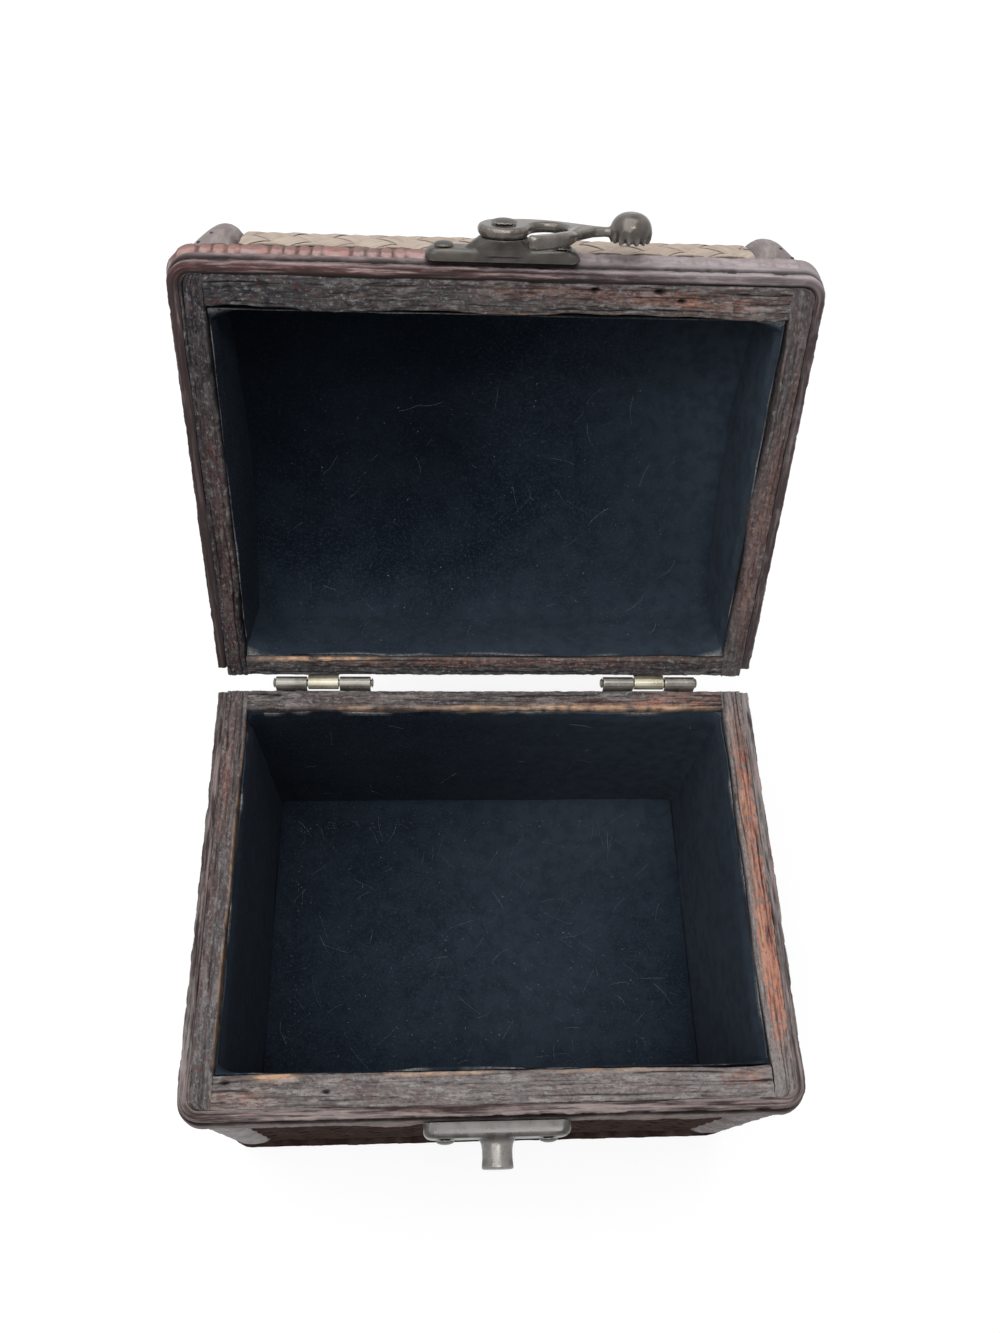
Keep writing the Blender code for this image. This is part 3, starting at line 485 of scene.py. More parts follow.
def wood_material(name="stained_wood", made=True):
    """Dark stain over wood, flaked and worn. Made boards carry their grain, cracks and worn places."""
    wood = Surface(name, specular=0.1, grain=made)
    streak = wood.noise((0.1, 1.3, 1.3), 5.0, 0.7)
    fibre = wood.noise((0.45, 3.6, 3.6), 4.0, 0.7)
    fleck = wood.noise((1.1, 2.4, 2.4), 5.0, 0.75)
    blotch = wood.noise((0.04, 0.25, 0.25))
    crumb = wood.noise((0.7, 1.1, 1.1), 6.0, 0.85)
    chip = wood.noise((0.6, 0.85, 0.85))
    wood.colour = wood.mix(wood.spread(streak, 0.35, 0.65), (0.05, 0.042, 0.041), (0.175, 0.152, 0.143))
    wood.paint(wood.spread(blotch, 0.48, 0.66, 0.45), (0.105, 0.056, 0.047))
    if made:
        # worn is rubbed wear, and on some boards also painted light towards the right
        wood.paint(wood.times(wood.mark("worn"), wood.spread(fleck, 0.25, 0.55, 0.85)), (0.3, 0.273, 0.262))
        even = wood.mix(wood.spread(blotch, 0.4, 0.62), (0.085, 0.075, 0.077), (0.12, 0.068, 0.06))
        wood.paint(wood.times(wood.mark("calm"), 0.8), even)
        wood.paint(wood.mark("shade"), (0.017, 0.018, 0.022))
    wood.paint(wood.spread(crumb, 0.55, 0.63, 0.55), (0.31, 0.315, 0.325))
    wood.paint(wood.spread(crumb, 0.46, 0.38, 0.6), (0.02, 0.018, 0.02))
    wood.paint(wood.spread(fibre, 0.55, 0.68, 0.75), (0.028, 0.022, 0.022))
    wood.paint(wood.spread(chip, 0.6, 0.66, 0.45), (0.25, 0.245, 0.25))
    wood.paint(wood.spread(chip, 0.4, 0.35, 0.4), (0.15, 0.055, 0.046))
    if made:
        rust = wood.mix(wood.spread(streak, 0.4, 0.55), (0.17, 0.055, 0.04), (0.46, 0.2, 0.13))
        wood.paint(wood.times(wood.mark("red"), wood.spread(crumb, 0.4, 0.52)), rust)
        wood.paint(wood.times(wood.mark("raw"), wood.spread(fibre, 0.3, 0.5)), (0.54, 0.345, 0.22))
        wood.paint(wood.mark("crack"), (0.012, 0.01, 0.011))
    height = wood.plus(wood.times(fibre, 0.5), wood.times(fleck, 0.5))
    return wood.finish(wood.ramp(fleck, 0.4, 0.8), height, 0.6, 0.4)


def leather_material(name, dark, worn, specular):
    """Embossed leather: dark in its folds and worn pale on what stands out, redder where it says so."""
    leather = Surface(name, specular=specular, grain=True)
    pore = leather.noise(2.2, 4.0, 0.7)
    patch = leather.noise((0.16, 0.4, 0.4), 4.0, 0.65)
    streak = leather.noise((0.06, 1.1, 1.1), 4.0, 0.7)
    # on the lid's binding, worn also holds painted light towards the right
    wear = leather.plus(leather.mark("worn"), leather.spread(patch, 0.42, 0.7, 0.35))
    leather.colour = leather.mix(wear, dark, worn)
    red = leather.mix(wear, (0.08, 0.024, 0.021), (0.37, 0.19, 0.155))
    leather.paint(leather.times(leather.mark("red"), leather.spread(patch, 0.18, 0.52)), red)
    streaky = leather.mark("streaky")
    leather.paint(leather.times(streaky, leather.spread(streak, 0.48, 0.34)), (0.31, 0.225, 0.22))
    leather.paint(leather.times(streaky, leather.spread(streak, 0.48, 0.62)), (0.035, 0.024, 0.024))
    leather.paint(leather.spread(pore, 0.55, 0.75, 0.4), (0.06, 0.047, 0.043))
    leather.paint(leather.mark("crack"), (0.014, 0.01, 0.01))
    return leather.finish(leather.ramp(pore, 0.38, 0.62), pore, 0.35, 0.25)


def weave_material(name, shade, pale, edge, specular):
    """Split cane strips with fine lengthwise fibres, each strip in its own tone."""
    cane = Surface(name, specular=specular, grain=True)
    fibre = cane.noise((0.12, 3.5, 1.0), 4.0, 0.65)
    stain = cane.noise((0.09, 0.3, 1.0))
    cane.colour = cane.mix(cane.spread(fibre, 0.3, 0.7), shade, pale)
    cane.paint(cane.times(cane.mark("tone"), 0.45), shade)
    cane.paint(cane.spread(stain, 0.5, 0.75, 0.35), edge)
    # crack darkens the strips' edges, and paints shade under crossings and on the undersides
    cane.paint(cane.mark("crack"), edge)
    return cane.finish(cane.ramp(fibre, 0.45, 0.68), fibre, 0.3, 0.2)


def felt_material():
    """Napped felt: matted patches, short fibres and dust. Its painted_light mark paints light above 0 and shade
    below.
    """
    felt = Surface("navy_felt", specular=0.0)
    nap = felt.noise(1.3, 5.0, 0.8)
    matted = felt.noise(0.05, 4.0)
    patch = felt.noise(0.22, 4.0)
    dust = felt.noise(0.9, 6.0, 0.85)
    painted_light = felt.mark("painted_light")
    felt.colour = felt.mix(felt.spread(matted, 0.35, 0.7), (0.007, 0.0108, 0.0178), (0.0136, 0.0197, 0.0295))
    # painted light: paler felt where painted_light is above 0
    felt.paint(painted_light, (0.062, 0.08, 0.104))
    felt.paint(felt.spread(patch, 0.58, 0.36, 0.28), (0.004, 0.006, 0.0095))
    felt.paint(felt.spread(nap, 0.5, 0.62, 0.62), (0.032, 0.044, 0.061))
    felt.paint(felt.spread(dust, 0.58, 0.68, 0.65), (0.085, 0.1, 0.115))
    # painted shade: darker felt where painted_light is below 0
    felt.paint(felt.times(painted_light, -1.0), (0.003, 0.005, 0.008))
    felt.paint(felt.times(felt.mark("fray"), felt.spread(dust, 0.35, 0.6)), (0.26, 0.26, 0.255))
    felt.set("Sheen Weight", 0.03)
    felt.set("Sheen Roughness", 0.6)
    felt.set("Sheen Tint", (0.7, 0.8, 1, 1))
    return felt.finish(0.95, nap, 0.6, 0.4)


def lint_material():
    lint = Surface("lint", specular=0.2)
    tone = lint.spread(lint.noise(0.15, 2.0), 0.3, 0.7)
    lint.colour = lint.mix(tone, (0.1, 0.115, 0.135), (0.36, 0.38, 0.39))
    return lint.finish(0.8)


def metal_material(name, dark, mid, bright, roughness, metallic):
    """Aged metal, dull in its hollows and rubbed bright on its edges."""
    metal = Surface(name, metallic)
    patina = metal.noise(0.22, 4.0, 0.55)
    speck = metal.noise(2.5, 4.0, 0.7)
    metal.colour = metal.mix(metal.spread(patina, 0.28, 0.68), dark, mid)
    # the wear mark is rubbed edges, and on the strike plate's stud also a painted highlight
    metal.paint(metal.times(metal.mark("wear"), metal.spread(speck, 0.2, 0.55)), bright)
    return metal.finish(metal.ramp(patina, roughness - 0.07, roughness + 0.12, 0.3, 0.7), speck, 0.12, 0.15)


# Dark, middle and bright colour of each metal, its roughness and how metallic it is
METAL_LOOKS = {
    "antique_bronze": ((0.06, 0.051, 0.044), (0.135, 0.118, 0.104), (0.55, 0.525, 0.49), 0.22, 0.5),
    "pale_bronze": ((0.035, 0.032, 0.029), (0.085, 0.081, 0.075), (0.45, 0.43, 0.4), 0.28, 0.5),
    "dark_bronze": ((0.03, 0.025, 0.021), (0.07, 0.06, 0.052), (0.36, 0.33, 0.3), 0.36, 0.3),
    "aged_brass": ((0.3, 0.27, 0.2), (0.45, 0.42, 0.32), (0.7, 0.67, 0.53), 0.3, 0.65),
    "dull_brass": ((0.14, 0.13, 0.115), (0.25, 0.235, 0.21), (0.45, 0.43, 0.38), 0.25, 0.65),
    "dark_iron": ((0.02, 0.018, 0.017), (0.05, 0.045, 0.042), (0.2, 0.19, 0.18), 0.45, 0.65),
}
METALS = {name: metal_material(name, *look) for name, look in METAL_LOOKS.items()}

# Boards with worn rims

# Red and raw spots are (centre along, half length, distance from the inner face, half width, strength), and
# holes are (centre along, distance from the inner face, radius, depth). The pale of the base's front and right
# boards is partly rubbed wear and partly painted light on the chest's right side.
RIM_WEAR = {
    "base_front_board": {
        "seed": 11, "pale": (0.1, 0.55),
        "red": ((69, 6, 3, 2.2, 0.45), (-70, 9, 6, 2, 0.35)),
        "raw": ((-60, 6, 0.2, 1.3, 1.3), (-16, 14, 0, 1.1, 0.6), (34, 18, 0.4, 0.8, 0.4)),
        "holes": ((-46, 4.6, 0.5, 1.3), (-73, 1.8, 0.55, 1.0))},
    "base_back_board": {
        "seed": 23, "shade": (0.22, 0.25),
        "red": ((50, 26, 1.6, 1.4, 0.5), (64, 14, 4, 2, 0.35)),
        "raw": ((-42, 8, 0.4, 0.9, 0.5), (4, 26, 0.3, 1.1, 0.7), (46, 28, 0.3, 1, 0.8))},
    "base_left_board": {
        "seed": 37, "shade": (0.3, 0.4), "calm": 0.4,
        "red": ((34, 22, 4.2, 1.8, 0.2),), "raw": ((-2, 52, 0, 0.5, 0.45),)},
    "base_right_board": {
        "seed": 41, "pale": (0.7, 0.5),
        "red": ((4, 44, 3.8, 2.4, 1.5), (-28, 17, 4, 2.2, 1.5)), "raw": ((4, 40, 2.6, 0.6, 0.35),)},
    "lid_front_board": {
        "seed": 53, "shade": (0.95, 0.1),
        "red": ((38, 14, 5, 2, 0.35), (58, 12, 3.4, 2, 0.4), (12, 16, 6, 1.6, 0.25)),
        "raw": ((20, 40, 0, 0.5, 0.35),),
        "holes": ((24, 6.6, 0.6, 1.5), (41, 6.5, 0.65, 1.5), (47, 4.2, 0.55, 1.3))},
    "lid_back_board": {
        "seed": 67, "shade": (0.8, 0.7),
        "red": ((0, 50, 1.4, 1.2, 0.3),), "raw": ((-54, 18, 0, 1, 1), (20, 50, 0, 0.4, 0.15))},
    "lid_left_board": {"seed": 71, "shade": (0.9, 1.0), "red": ((16, 44, 3, 2.6, 0.12),)},
    "lid_right_board": {"seed": 83, "shade": (0.05, 0.15), "calm": 0.7, "red": ((10, 34, 3, 2, 0.2),)},
}


def rim_height(u, v, width, seed, inner_round, outer_round):
    """Height, cracks and worn places of a board's edge over its length u and width v."""
    height = 0.09 * noise(u * 0.05, v * 1.3, seed, 3) + 0.06 * noise(u * 0.6, v * 2.2, seed + 7, 3)
    flake = smooth(-0.12, 0.1, noise(u * 0.16, v * 0.7, seed + 3, 4))
    flake = flake * (1 - smooth(0.25, 0.4, noise(u * 0.4, v * 0.9, seed + 13, 3)))
    groove = smooth(0.11, 0, np.abs(noise(u * 0.022, v * 0.8, seed + 9, 3)))
    height += 0.2 * flake + 0.16 * noise(u * 0.7, v * 0.8, seed + 17, 4) - 0.2 * groove
    crack = np.zeros_like(height)
    for k, share in enumerate((0.2, 0.48, 0.79)):
        line = width * share + 0.55 * noise(u * 0.035, u * 0 + k * 9.7, seed + 20 + k, 3)
        open_here = smooth(0.0, 0.6, noise(u * 0.04, u * 0 + k * 5.1, seed + 40 + k, 2))
        crack = np.maximum(crack, open_here * bell(v, line, 0.19))
    height -= 0.4 * crack
    radius = np.where(v < width / 2, inner_round, outer_round)
    radius = radius * (1 + 0.45 * noise(u * 0.14, np.sign(v - width / 2), seed + 5, 2)) + 0.02
    rounding = np.clip(1 - np.minimum(v, width - v) / radius, 0, 1)
    height -= radius * (1 - np.sqrt(np.clip(1 - rounding ** 2, 0, 1)))
    worn = flake * smooth(-0.5, 0.5, noise(u * 0.16, v * 1.1, seed + 15, 3))
    return np.minimum(height - 0.1, 0.2), np.clip(crack + 0.6 * groove, 0, 1), worn


def lobes(u, v, spots):
    """The sum of soft oval spots."""
    total = np.zeros(np.broadcast(u, v).shape)
    for centre, half, across, half_width, strength in spots:
        total += strength * np.exp(-(((u - centre) / half) ** 4) - ((v - across) / half_width) ** 4)
    return total


def board_depth(node, u):
    """Height of a board over its length. The lid's end boards follow the barrel."""
    if BODY_OF[node] == "base":
        return np.full(len(u), float(BASE_HEIGHT))
    if "front" in node or "back" in node:
        return np.full(len(u), float(EAVES - LID_RIM))
    line = barrel(-ARCH_INSET, 0)
    inside = line[np.abs(line[:, 0]) <= HALF_DEPTH - ARCH_INSET + 0.001]
    return np.interp(u, inside[:, 0], inside[:, 1], EAVES, EAVES) - LID_RIM


def rim_board(node, wood, seed, red=(), raw=(), holes=(), shade=(0, 0), pale=(0, 0), calm=0.0):
    """A board whose rim shows. u runs along it and v from its inner to its outer face.

    shade is how dark the stain still is at each end, pale is how far it is rubbed off there, partly as painted
    light, and calm is how even it is.
    """
    on_lid, along_x = BODY_OF[node] == "lid", "front" in node or "back" in node
    side = -1 if "front" in node or "left" in node else 1
    rim, away = (LID_RIM, 1) if on_lid else (BASE_HEIGHT, -1)
    thick = FRONT_BOARD if "front" in node else BOARD
    reach = INNER_X - 0.02 if along_x else HALF_DEPTH
    inner = HALF_DEPTH - thick if along_x else INNER_X
    u = np.linspace(-reach, reach, int(2 * reach / RIM_STEP))
    steps = int(thick / RIM_CROSS_STEP)
    side_count = len(SIDE_ROWS) + 1
    v = np.concatenate((np.zeros(side_count), np.linspace(0, thick, steps), np.full(side_count, thick)))
    on_top = np.repeat((False, True, False), (side_count, steps, side_count))[None]
    below = np.concatenate(([np.inf], SIDE_ROWS[::-1], np.zeros(steps), SIDE_ROWS, [np.inf]))[None]
    u_grid, v_grid = np.broadcast_arrays(u[:, None], v[None])
    inner_round = np.full(u_grid.shape, RIM_ROUND)
    outer = np.full(len(u), float(thick))
    if not along_x:
        inner_round *= smooth(-HALF_DEPTH + FRONT_BOARD - 0.5, -HALF_DEPTH + FRONT_BOARD + 1, u_grid)
        inner_round *= smooth(HALF_DEPTH - BOARD + 0.5, HALF_DEPTH - BOARD - 1, u_grid)
        past = np.clip(-(HALF_DEPTH - FRONT_CORNER) - u, 0, FRONT_CORNER)
        outer = thick - FRONT_CORNER + np.sqrt(FRONT_CORNER ** 2 - past ** 2)
    outer_round = RIM_ROUND if on_lid else BASE_OUTER_ROUND
    height, crack, worn = rim_height(u_grid, v_grid, thick, seed, inner_round, outer_round)
    first, last = height[:, [side_count]], height[:, [side_count + steps - 1]]
    lowest = np.where(v < thick / 2, first, last)
    drop = np.where(on_top, -height, np.minimum(below - lowest, board_depth(node, u)[:, None]))
    for hole_u, hole_v, hole_radius, hole_depth in holes:
        pit = np.exp(-((u_grid - hole_u) ** 2 / (2.2 * hole_radius) ** 2
                       + (v_grid - hole_v) ** 2 / hole_radius ** 2) ** 2) * on_top
        drop = drop + hole_depth * pit
        crack = np.maximum(crack, pit)
    waviness = 0.0 if "back" in node else 0.8 if on_lid else 0.35
    lip = waviness * line_noise(u, 0.045, seed + 29, 3) * smooth(0, 6, reach - np.abs(u))
    lip = lip[:, None] * (1 - v_grid / thick) * (below < 3)
    across = side * (inner + v_grid * (outer / thick)[:, None] - lip)
    z = rim + away * drop
    points = triples(u_grid, across, z) if along_x else triples(across, u_grid, z)
    ragged = noise(u_grid * 0.5, v_grid * 0.5, seed + 9, 3)
    share = (u_grid + reach) / (2 * reach)
    values = {
        "grain": triples(u_grid, v_grid + drop * (~on_top), seed * 3.7),
        "crack": crack * on_top * (1 - calm),
        "calm": calm,
        # worn takes in pale, which is partly painted light
        "worn": np.clip(worn + pale[0] + (pale[1] - pale[0]) * share, 0, 1) * on_top,
        "shade": (shade[0] + (shade[1] - shade[0]) * share) * (0.8 + 0.3 * ragged),
        "red": np.clip(lobes(u_grid, v_grid, red) * (0.8 + 0.5 * ragged), 0, 1),
        "raw": np.clip(lobes(u_grid, v_grid, raw) * (0.8 + 0.6 * ragged), 0, 1),
    }
    stand_in(node, "_worn", points, values, wood)


def add_boards(wood, plain_wood):
    for node, wear in RIM_WEAR.items():
        rim_board(node, wood, **wear)
    for node in ("lid_top_panel", "base_bottom_board"):
        frame["nodes"][node].data.materials.clear()
        frame["nodes"][node].data.materials.append(plain_wood)


# Leather bindings


def stamped(s):
    """How far the stamped marks rise along a band, and how far off a mark's middle it is, both 0 to 1."""
    turn = np.mod(s, MARK_REPEAT)
    off = np.ones_like(turn)
    for centre, half in zip(MARK_CENTRES, MARK_HALVES):
        away = np.minimum(np.abs(turn - centre), MARK_REPEAT - np.abs(turn - centre))
        off = np.minimum(off, away / half)
    return (1 - off ** 2) ** 0.6, off


def rim_section(on_lid):
    """Section (proud, depth from the rim) of a rim binding, which lies against the board."""
    start, drop = 0.02, 0.3 if on_lid else 0.1
    far = BAND_PROUD + (LID_BAND_FLARE if on_lid else 0)
    corners = [
        (start, drop, 0.05), (RIDGE_PROUD, drop, 0.7), (RIDGE_PROUD, RIDGE_WIDTH, 0.8),
        (RIDGE_PROUD - 1.0, RIDGE_WIDTH + 0.35, 0.25), (BAND_PROUD - 0.3, RIDGE_WIDTH + 0.7, 0.6),
        (BAND_PROUD, BAND_SHELF, 1.0), (far, RIM_BINDING, 1.2), (SEAM, RIM_BINDING, 0.1),
    ]
    return rounded_loop(corners, 0.34)


def rim_binding(node, leather, seed):
    """The stepped binding round a rim: a streaky ridge, a groove and a band with stamped marks."""
    on_lid = BODY_OF[node] == "lid"
    rim, away, stop = (LID_RIM, 1, LID_BINDING_STOP) if on_lid else (BASE_HEIGHT, -1, BASE_BINDING_STOP)
    path, normals = rim_run(stop, 0.55)
    section = rim_section(on_lid)
    proud, depth = section.T[:, None]
    points = plan_sweep(path, normals, np.stack((section[:, 0], rim + away * section[:, 1]), axis=1))
    s = run_length(path)
    s = (s - s[-1] / 2)[:, None]

    # Where each point lies
    outside = smooth(0.8, 2.0, proud)
    top = smooth(1.2, 0.2, depth)
    on_band = smooth(RIDGE_WIDTH + 0.5, RIDGE_WIDTH + 1.2, depth)
    in_row = smooth(MARK_START - 0.3, MARK_START + 0.3, depth)
    end_run = smooth(HALF_WIDTH - 2, HALF_WIDTH + 4, np.abs(s))
    left_end = end_run * smooth(-HALF_WIDTH, -HALF_WIDTH - 40, s)
    # painted light towards the right end of the binding
    lit_to_right = smooth(10, 60, s)

    # Stamped marks, bumps, waves and nicks
    crispness = (1 - 0.6 * end_run) * (0.2 + 0.8 * smooth(35, 5, s) if on_lid else 0.12)
    rise, off = stamped(s + 0.4 * line_noise(s, 0.05, seed, 2))
    below_mark = depth - MARK_START - MARK_BOW * off ** 2
    marks = smooth(-0.25, 0.3, below_mark) * smooth(1.0, 0.85, off) * smooth(11.4, 10.2, depth)
    lift = MARK_RISE * crispness * (marks * (0.3 + 0.7 * rise) - 0.4 * in_row)
    lift = lift + 0.1 * noise(s * 0.3, depth * 0.5, seed + 1, 3) + 0.06 * noise(s * 1.4, depth * 1.4, seed, 3)
    lift = lift + end_run * on_band * 0.22 * np.sin(2 * math.pi * s / 10.4 + line_noise(s, 0.05, seed + 3))
    lift = lift + (0.15 if on_lid else 0.9) * line_noise(s, 0.07, seed + 14, 2) * smooth(8, 10.8, depth)
    nicks = smooth(0.35, 0.6, noise(s * 0.22, depth * 0.4, seed + 8, 3))
    nicks = nicks * smooth(2.0, 3.0, proud) * (1 - on_band)
    lift = outside * lift + top * 0.22 * noise(s * 0.05, proud * 1.7, seed + 12, 3) - 0.3 * nicks
    points = push_out(points, lift)

    # Wear, tint, a darker left end and painted light towards the right
    crescent = bell(below_mark, 0.5, 0.9) * smooth(1.0, 0.75, off) * crispness * outside
    ridge_edge = bell(proud, RIDGE_PROUD, 0.3) * smooth(2.2, 0.8, depth)
    worn = 0.05 + 0.95 * crescent + 0.4 * ridge_edge + 0.2 * marks * crispness
    if on_lid:
        # paler towards the right: partly wear, partly painted light
        worn = worn + on_band * (0.18 + 0.37 * smooth(-20, 40, s) * (1 - 0.5 * end_run))
        worn = worn - 0.25 * top * (1 - 0.6 * left_end) - 0.5 * left_end
        worn = worn + 0.1 * end_run * smooth(0, 9, s) + 0.5 * lit_to_right * (1 - on_band) * (1 - end_run)
        seam, left_darkening, streaky = 1 - 0.75 * end_run, 0.4 * left_end, 1 - 0.55 * lit_to_right - 0.6 * left_end
        redness = 0.7 * smooth(30, -45, points[..., 0]) + 0.1
    else:
        rubbed = 0.85 * top * (0.55 + 0.5 * noise(s * 0.04, proud * 1.3, seed + 16, 3))
        worn = worn + 0.6 * on_band + rubbed * (1 - 0.6 * left_end)
        seam, left_darkening, streaky, redness = 0.25, 0.1 * left_end, 1, 0.25
    groove = bell(depth, RIDGE_WIDTH + 0.35, 0.35) * (1 - smooth(3.2, 3.9, proud))
    between = in_row * crispness * smooth(0.8, 1.0, off) * smooth(11, 9, depth)
    crack = groove * 0.9 + seam * (1 - smooth(0.45, 0.9, proud)) + 0.25 * nicks + 0.28 * between + left_darkening
    values = {
        "grain": triples(s, depth, proud + seed),
        "worn": np.clip(worn, -0.3, 1),
        "crack": np.clip(crack, 0, 1),
        "streaky": np.clip(streaky * (0.65 * top + 0.25 * (1 - on_band)), 0, 1),
        "red": np.clip(redness * (1 - 0.75 * end_run) * (0.3 + 0.7 * in_row + 0.5 * top), 0, 1),
    }
    stand_in(node, "_leather", points, values, leather, sharp=70)


def plain_leather(node, points, s, across, leather, seed, wrinkle, worn, face, loop=False, red=0.0):
    """A leather strap from a lattice, with pores, folds across it and wear on its face."""
    folds = noise(s * wrinkle, across * 0.12, seed, 3)
    lift = face * (0.16 * folds + 0.08 * noise(s * 0.9, across * 0.9, seed + 4, 3))
    values = {
        "grain": triples(s, across, seed * 2.3),
        "worn": np.clip(worn + 0.22 * folds, 0, 1),
        "crack": 0.9 * (1 - face),
        "red": red,
        "streaky": 0.0,
    }
    stand_in(node, "_leather", push_out(points, lift, loop), values, leather, loop, 70)


def add_foot(leather):
    path, normals = foot_run(0.9)
    corners = [
        (SEAM, SEAM, 0.1), (FOOT_PROUD, SEAM, 0.9),
        (FOOT_PROUD, FOOT_BINDING, 1.2), (SEAM, FOOT_BINDING, 0.1),
    ]
    section = rounded_loop(corners, 0.55)
    proud, height = section.T[:, None]
    s = run_length(path)[:, None]
    face = smooth(0.6, 2.2, proud) * smooth(0.6, 2.0, height)
    marks = stamped(s)[0] * (1 - smooth(2.6, 4.2, np.abs(height - FOOT_BINDING + 3.4)))
    points = push_out(plan_sweep(path, normals, section), 0.12 * marks * smooth(2, 4, proud), True)
    worn = 0.08 * marks * face
    plain_leather("base_foot_binding", points, s, height, leather, 5, 0.3, worn, face, loop=True, red=0.1)


def add_corner_straps(pale, leather):
    """The four straps. Those in front are pale, and the right one of them is twisted like a rope."""
    z = np.arange(WALL_LOW, WALL_HIGH, 0.6)[:, None]
    for end, end_name in ((-1, "front"), (1, "back")):
        radius = FRONT_CORNER if end < 0 else BACK_CORNER
        legs = [(HALF_WIDTH, HALF_DEPTH - CORNER_LEG)], [(HALF_WIDTH - CORNER_LEG, HALF_DEPTH)]
        plan = resample(np.concatenate((legs[0], corner_arc(1, 1, radius, 0), legs[1])), 0.7)
        normals = -path_normals(plan)
        across = run_length(plan)
        middle = across.max() / 2
        ends = 1 - np.clip(np.abs(across - middle) / middle, 0, 1) ** 6
        proud = SEAM + (CORNER_PROUD - SEAM) * (0.35 + 0.65 * ends)
        outline = np.concatenate((plan + normals * proud[:, None], (plan + normals * SEAM)[::-1]))
        across = np.concatenate((across, across[::-1]))[None]
        face = np.repeat((1.0, 0.0), len(plan))[None]
        for side, side_name in ((-1, "left"), (1, "right")):
            x, y = (outline * (side, end)).T[:, None]
            points = triples(x, y, z)
            ropy = side > 0 and end < 0
            if ropy:
                points = push_out(points, 0.45 * np.sin(2 * math.pi * (z / 3.4 + across / 9)) * face)
            plain_leather(f"base_corner_binding_{end_name}_{side_name}", points, z, across,
                          pale if end < 0 else leather, 13 + 3 * side + end, 0.5 if ropy else 0.25,
                          0.3 if end < 0 else 0.15, face)


def add_edge_bindings(pale):
    corners = [
        (EDGE_FLANGE, SEAM, 0.1), (EDGE_FLANGE, 3.0, 2.4), (EDGE_FLANGE - 2.8, EDGE_PROUD + 0.4, 3.0),
        (7.0, EDGE_PROUD + 0.4, 3.0), (1.0, 2.2, 2.4), (-EDGE_SIDE_PROUD, -1.0, 1.6),
        (-EDGE_SIDE_PROUD, -EDGE_SIDE_DROP, 1.0), (-SEAM, -EDGE_SIDE_DROP, 0.1), (-SEAM, SEAM, 0.1),
    ]
    section = rounded_loop(corners, 0.5)
    inset, proud = section.T[:, None]
    base = barrel(0, RIM_BINDING + SEAM, 0.8)
    normal = path_normals(base)
    s = run_length(base)[:, None]
    end_curl = bell(s, 0, 3.0) + bell(s, s.max(), 3.0)
    out = proud * (1 - 0.3 * end_curl * (proud > 1))
    yz = base[:, None, :] + normal[:, None, :] * out[..., None]
    face = np.clip(smooth(0.4, 1.4, proud) + smooth(0.5, 1.5, -inset), 0, 1)
    for side, name in ((-1, "left"), (1, "right")):
        points = triples(side * (HALF_WIDTH - inset), yz[..., 0], yz[..., 1])
        plain_leather(f"lid_{name}_edge_binding", points, s, inset - proud, pale, 29 + side, 0.2, 0.3, face,
                      red=0.12 if side < 0 else 0.05)
        add_tacks(name, side, base, normal, section)


def add_tacks(name, side, base, normal, section):
    """Small sunk tack heads in pairs along an edge binding, on its outer slope."""
    length = run_length(base)
    upper = section[section[:, 1] > 1]
    upper = upper[np.argsort(upper[:, 0])]
    angle = 2 * math.pi * np.arange(TACK_SIDES) / TACK_SIDES
    verts, faces = [], []
    for at in np.arange(TACK_FIRST, length[-1], TACK_PITCH):
        for lean in (-1, 1):
            along, inset = at + 0.5 * lean, TACK_INSET + 1.7 * lean
            middle = np.array([np.interp(along, length, column) for column in base.T])
            out = np.array([np.interp(along, length, column) for column in normal.T])
            proud = np.interp(inset, upper[:, 0], upper[:, 1]) - TACK_SUNK
            rings = []
            for radius, rise in TACK_RINGS:
                x = side * (HALF_WIDTH - inset) + radius * np.cos(angle)
                yz = middle + out * (proud + rise) + np.outer(radius * np.sin(angle), (out[1], -out[0]))
                rings.append(np.column_stack((x, yz)))
            add_rings(verts, faces, rings)
    obj = mesh_object(f"lid_{name}_edge_tacks", verts, faces, "lid", {"wear": np.zeros(len(verts))})
    place_piece(obj, "lid", METALS["dark_iron"])


# Plaited mats


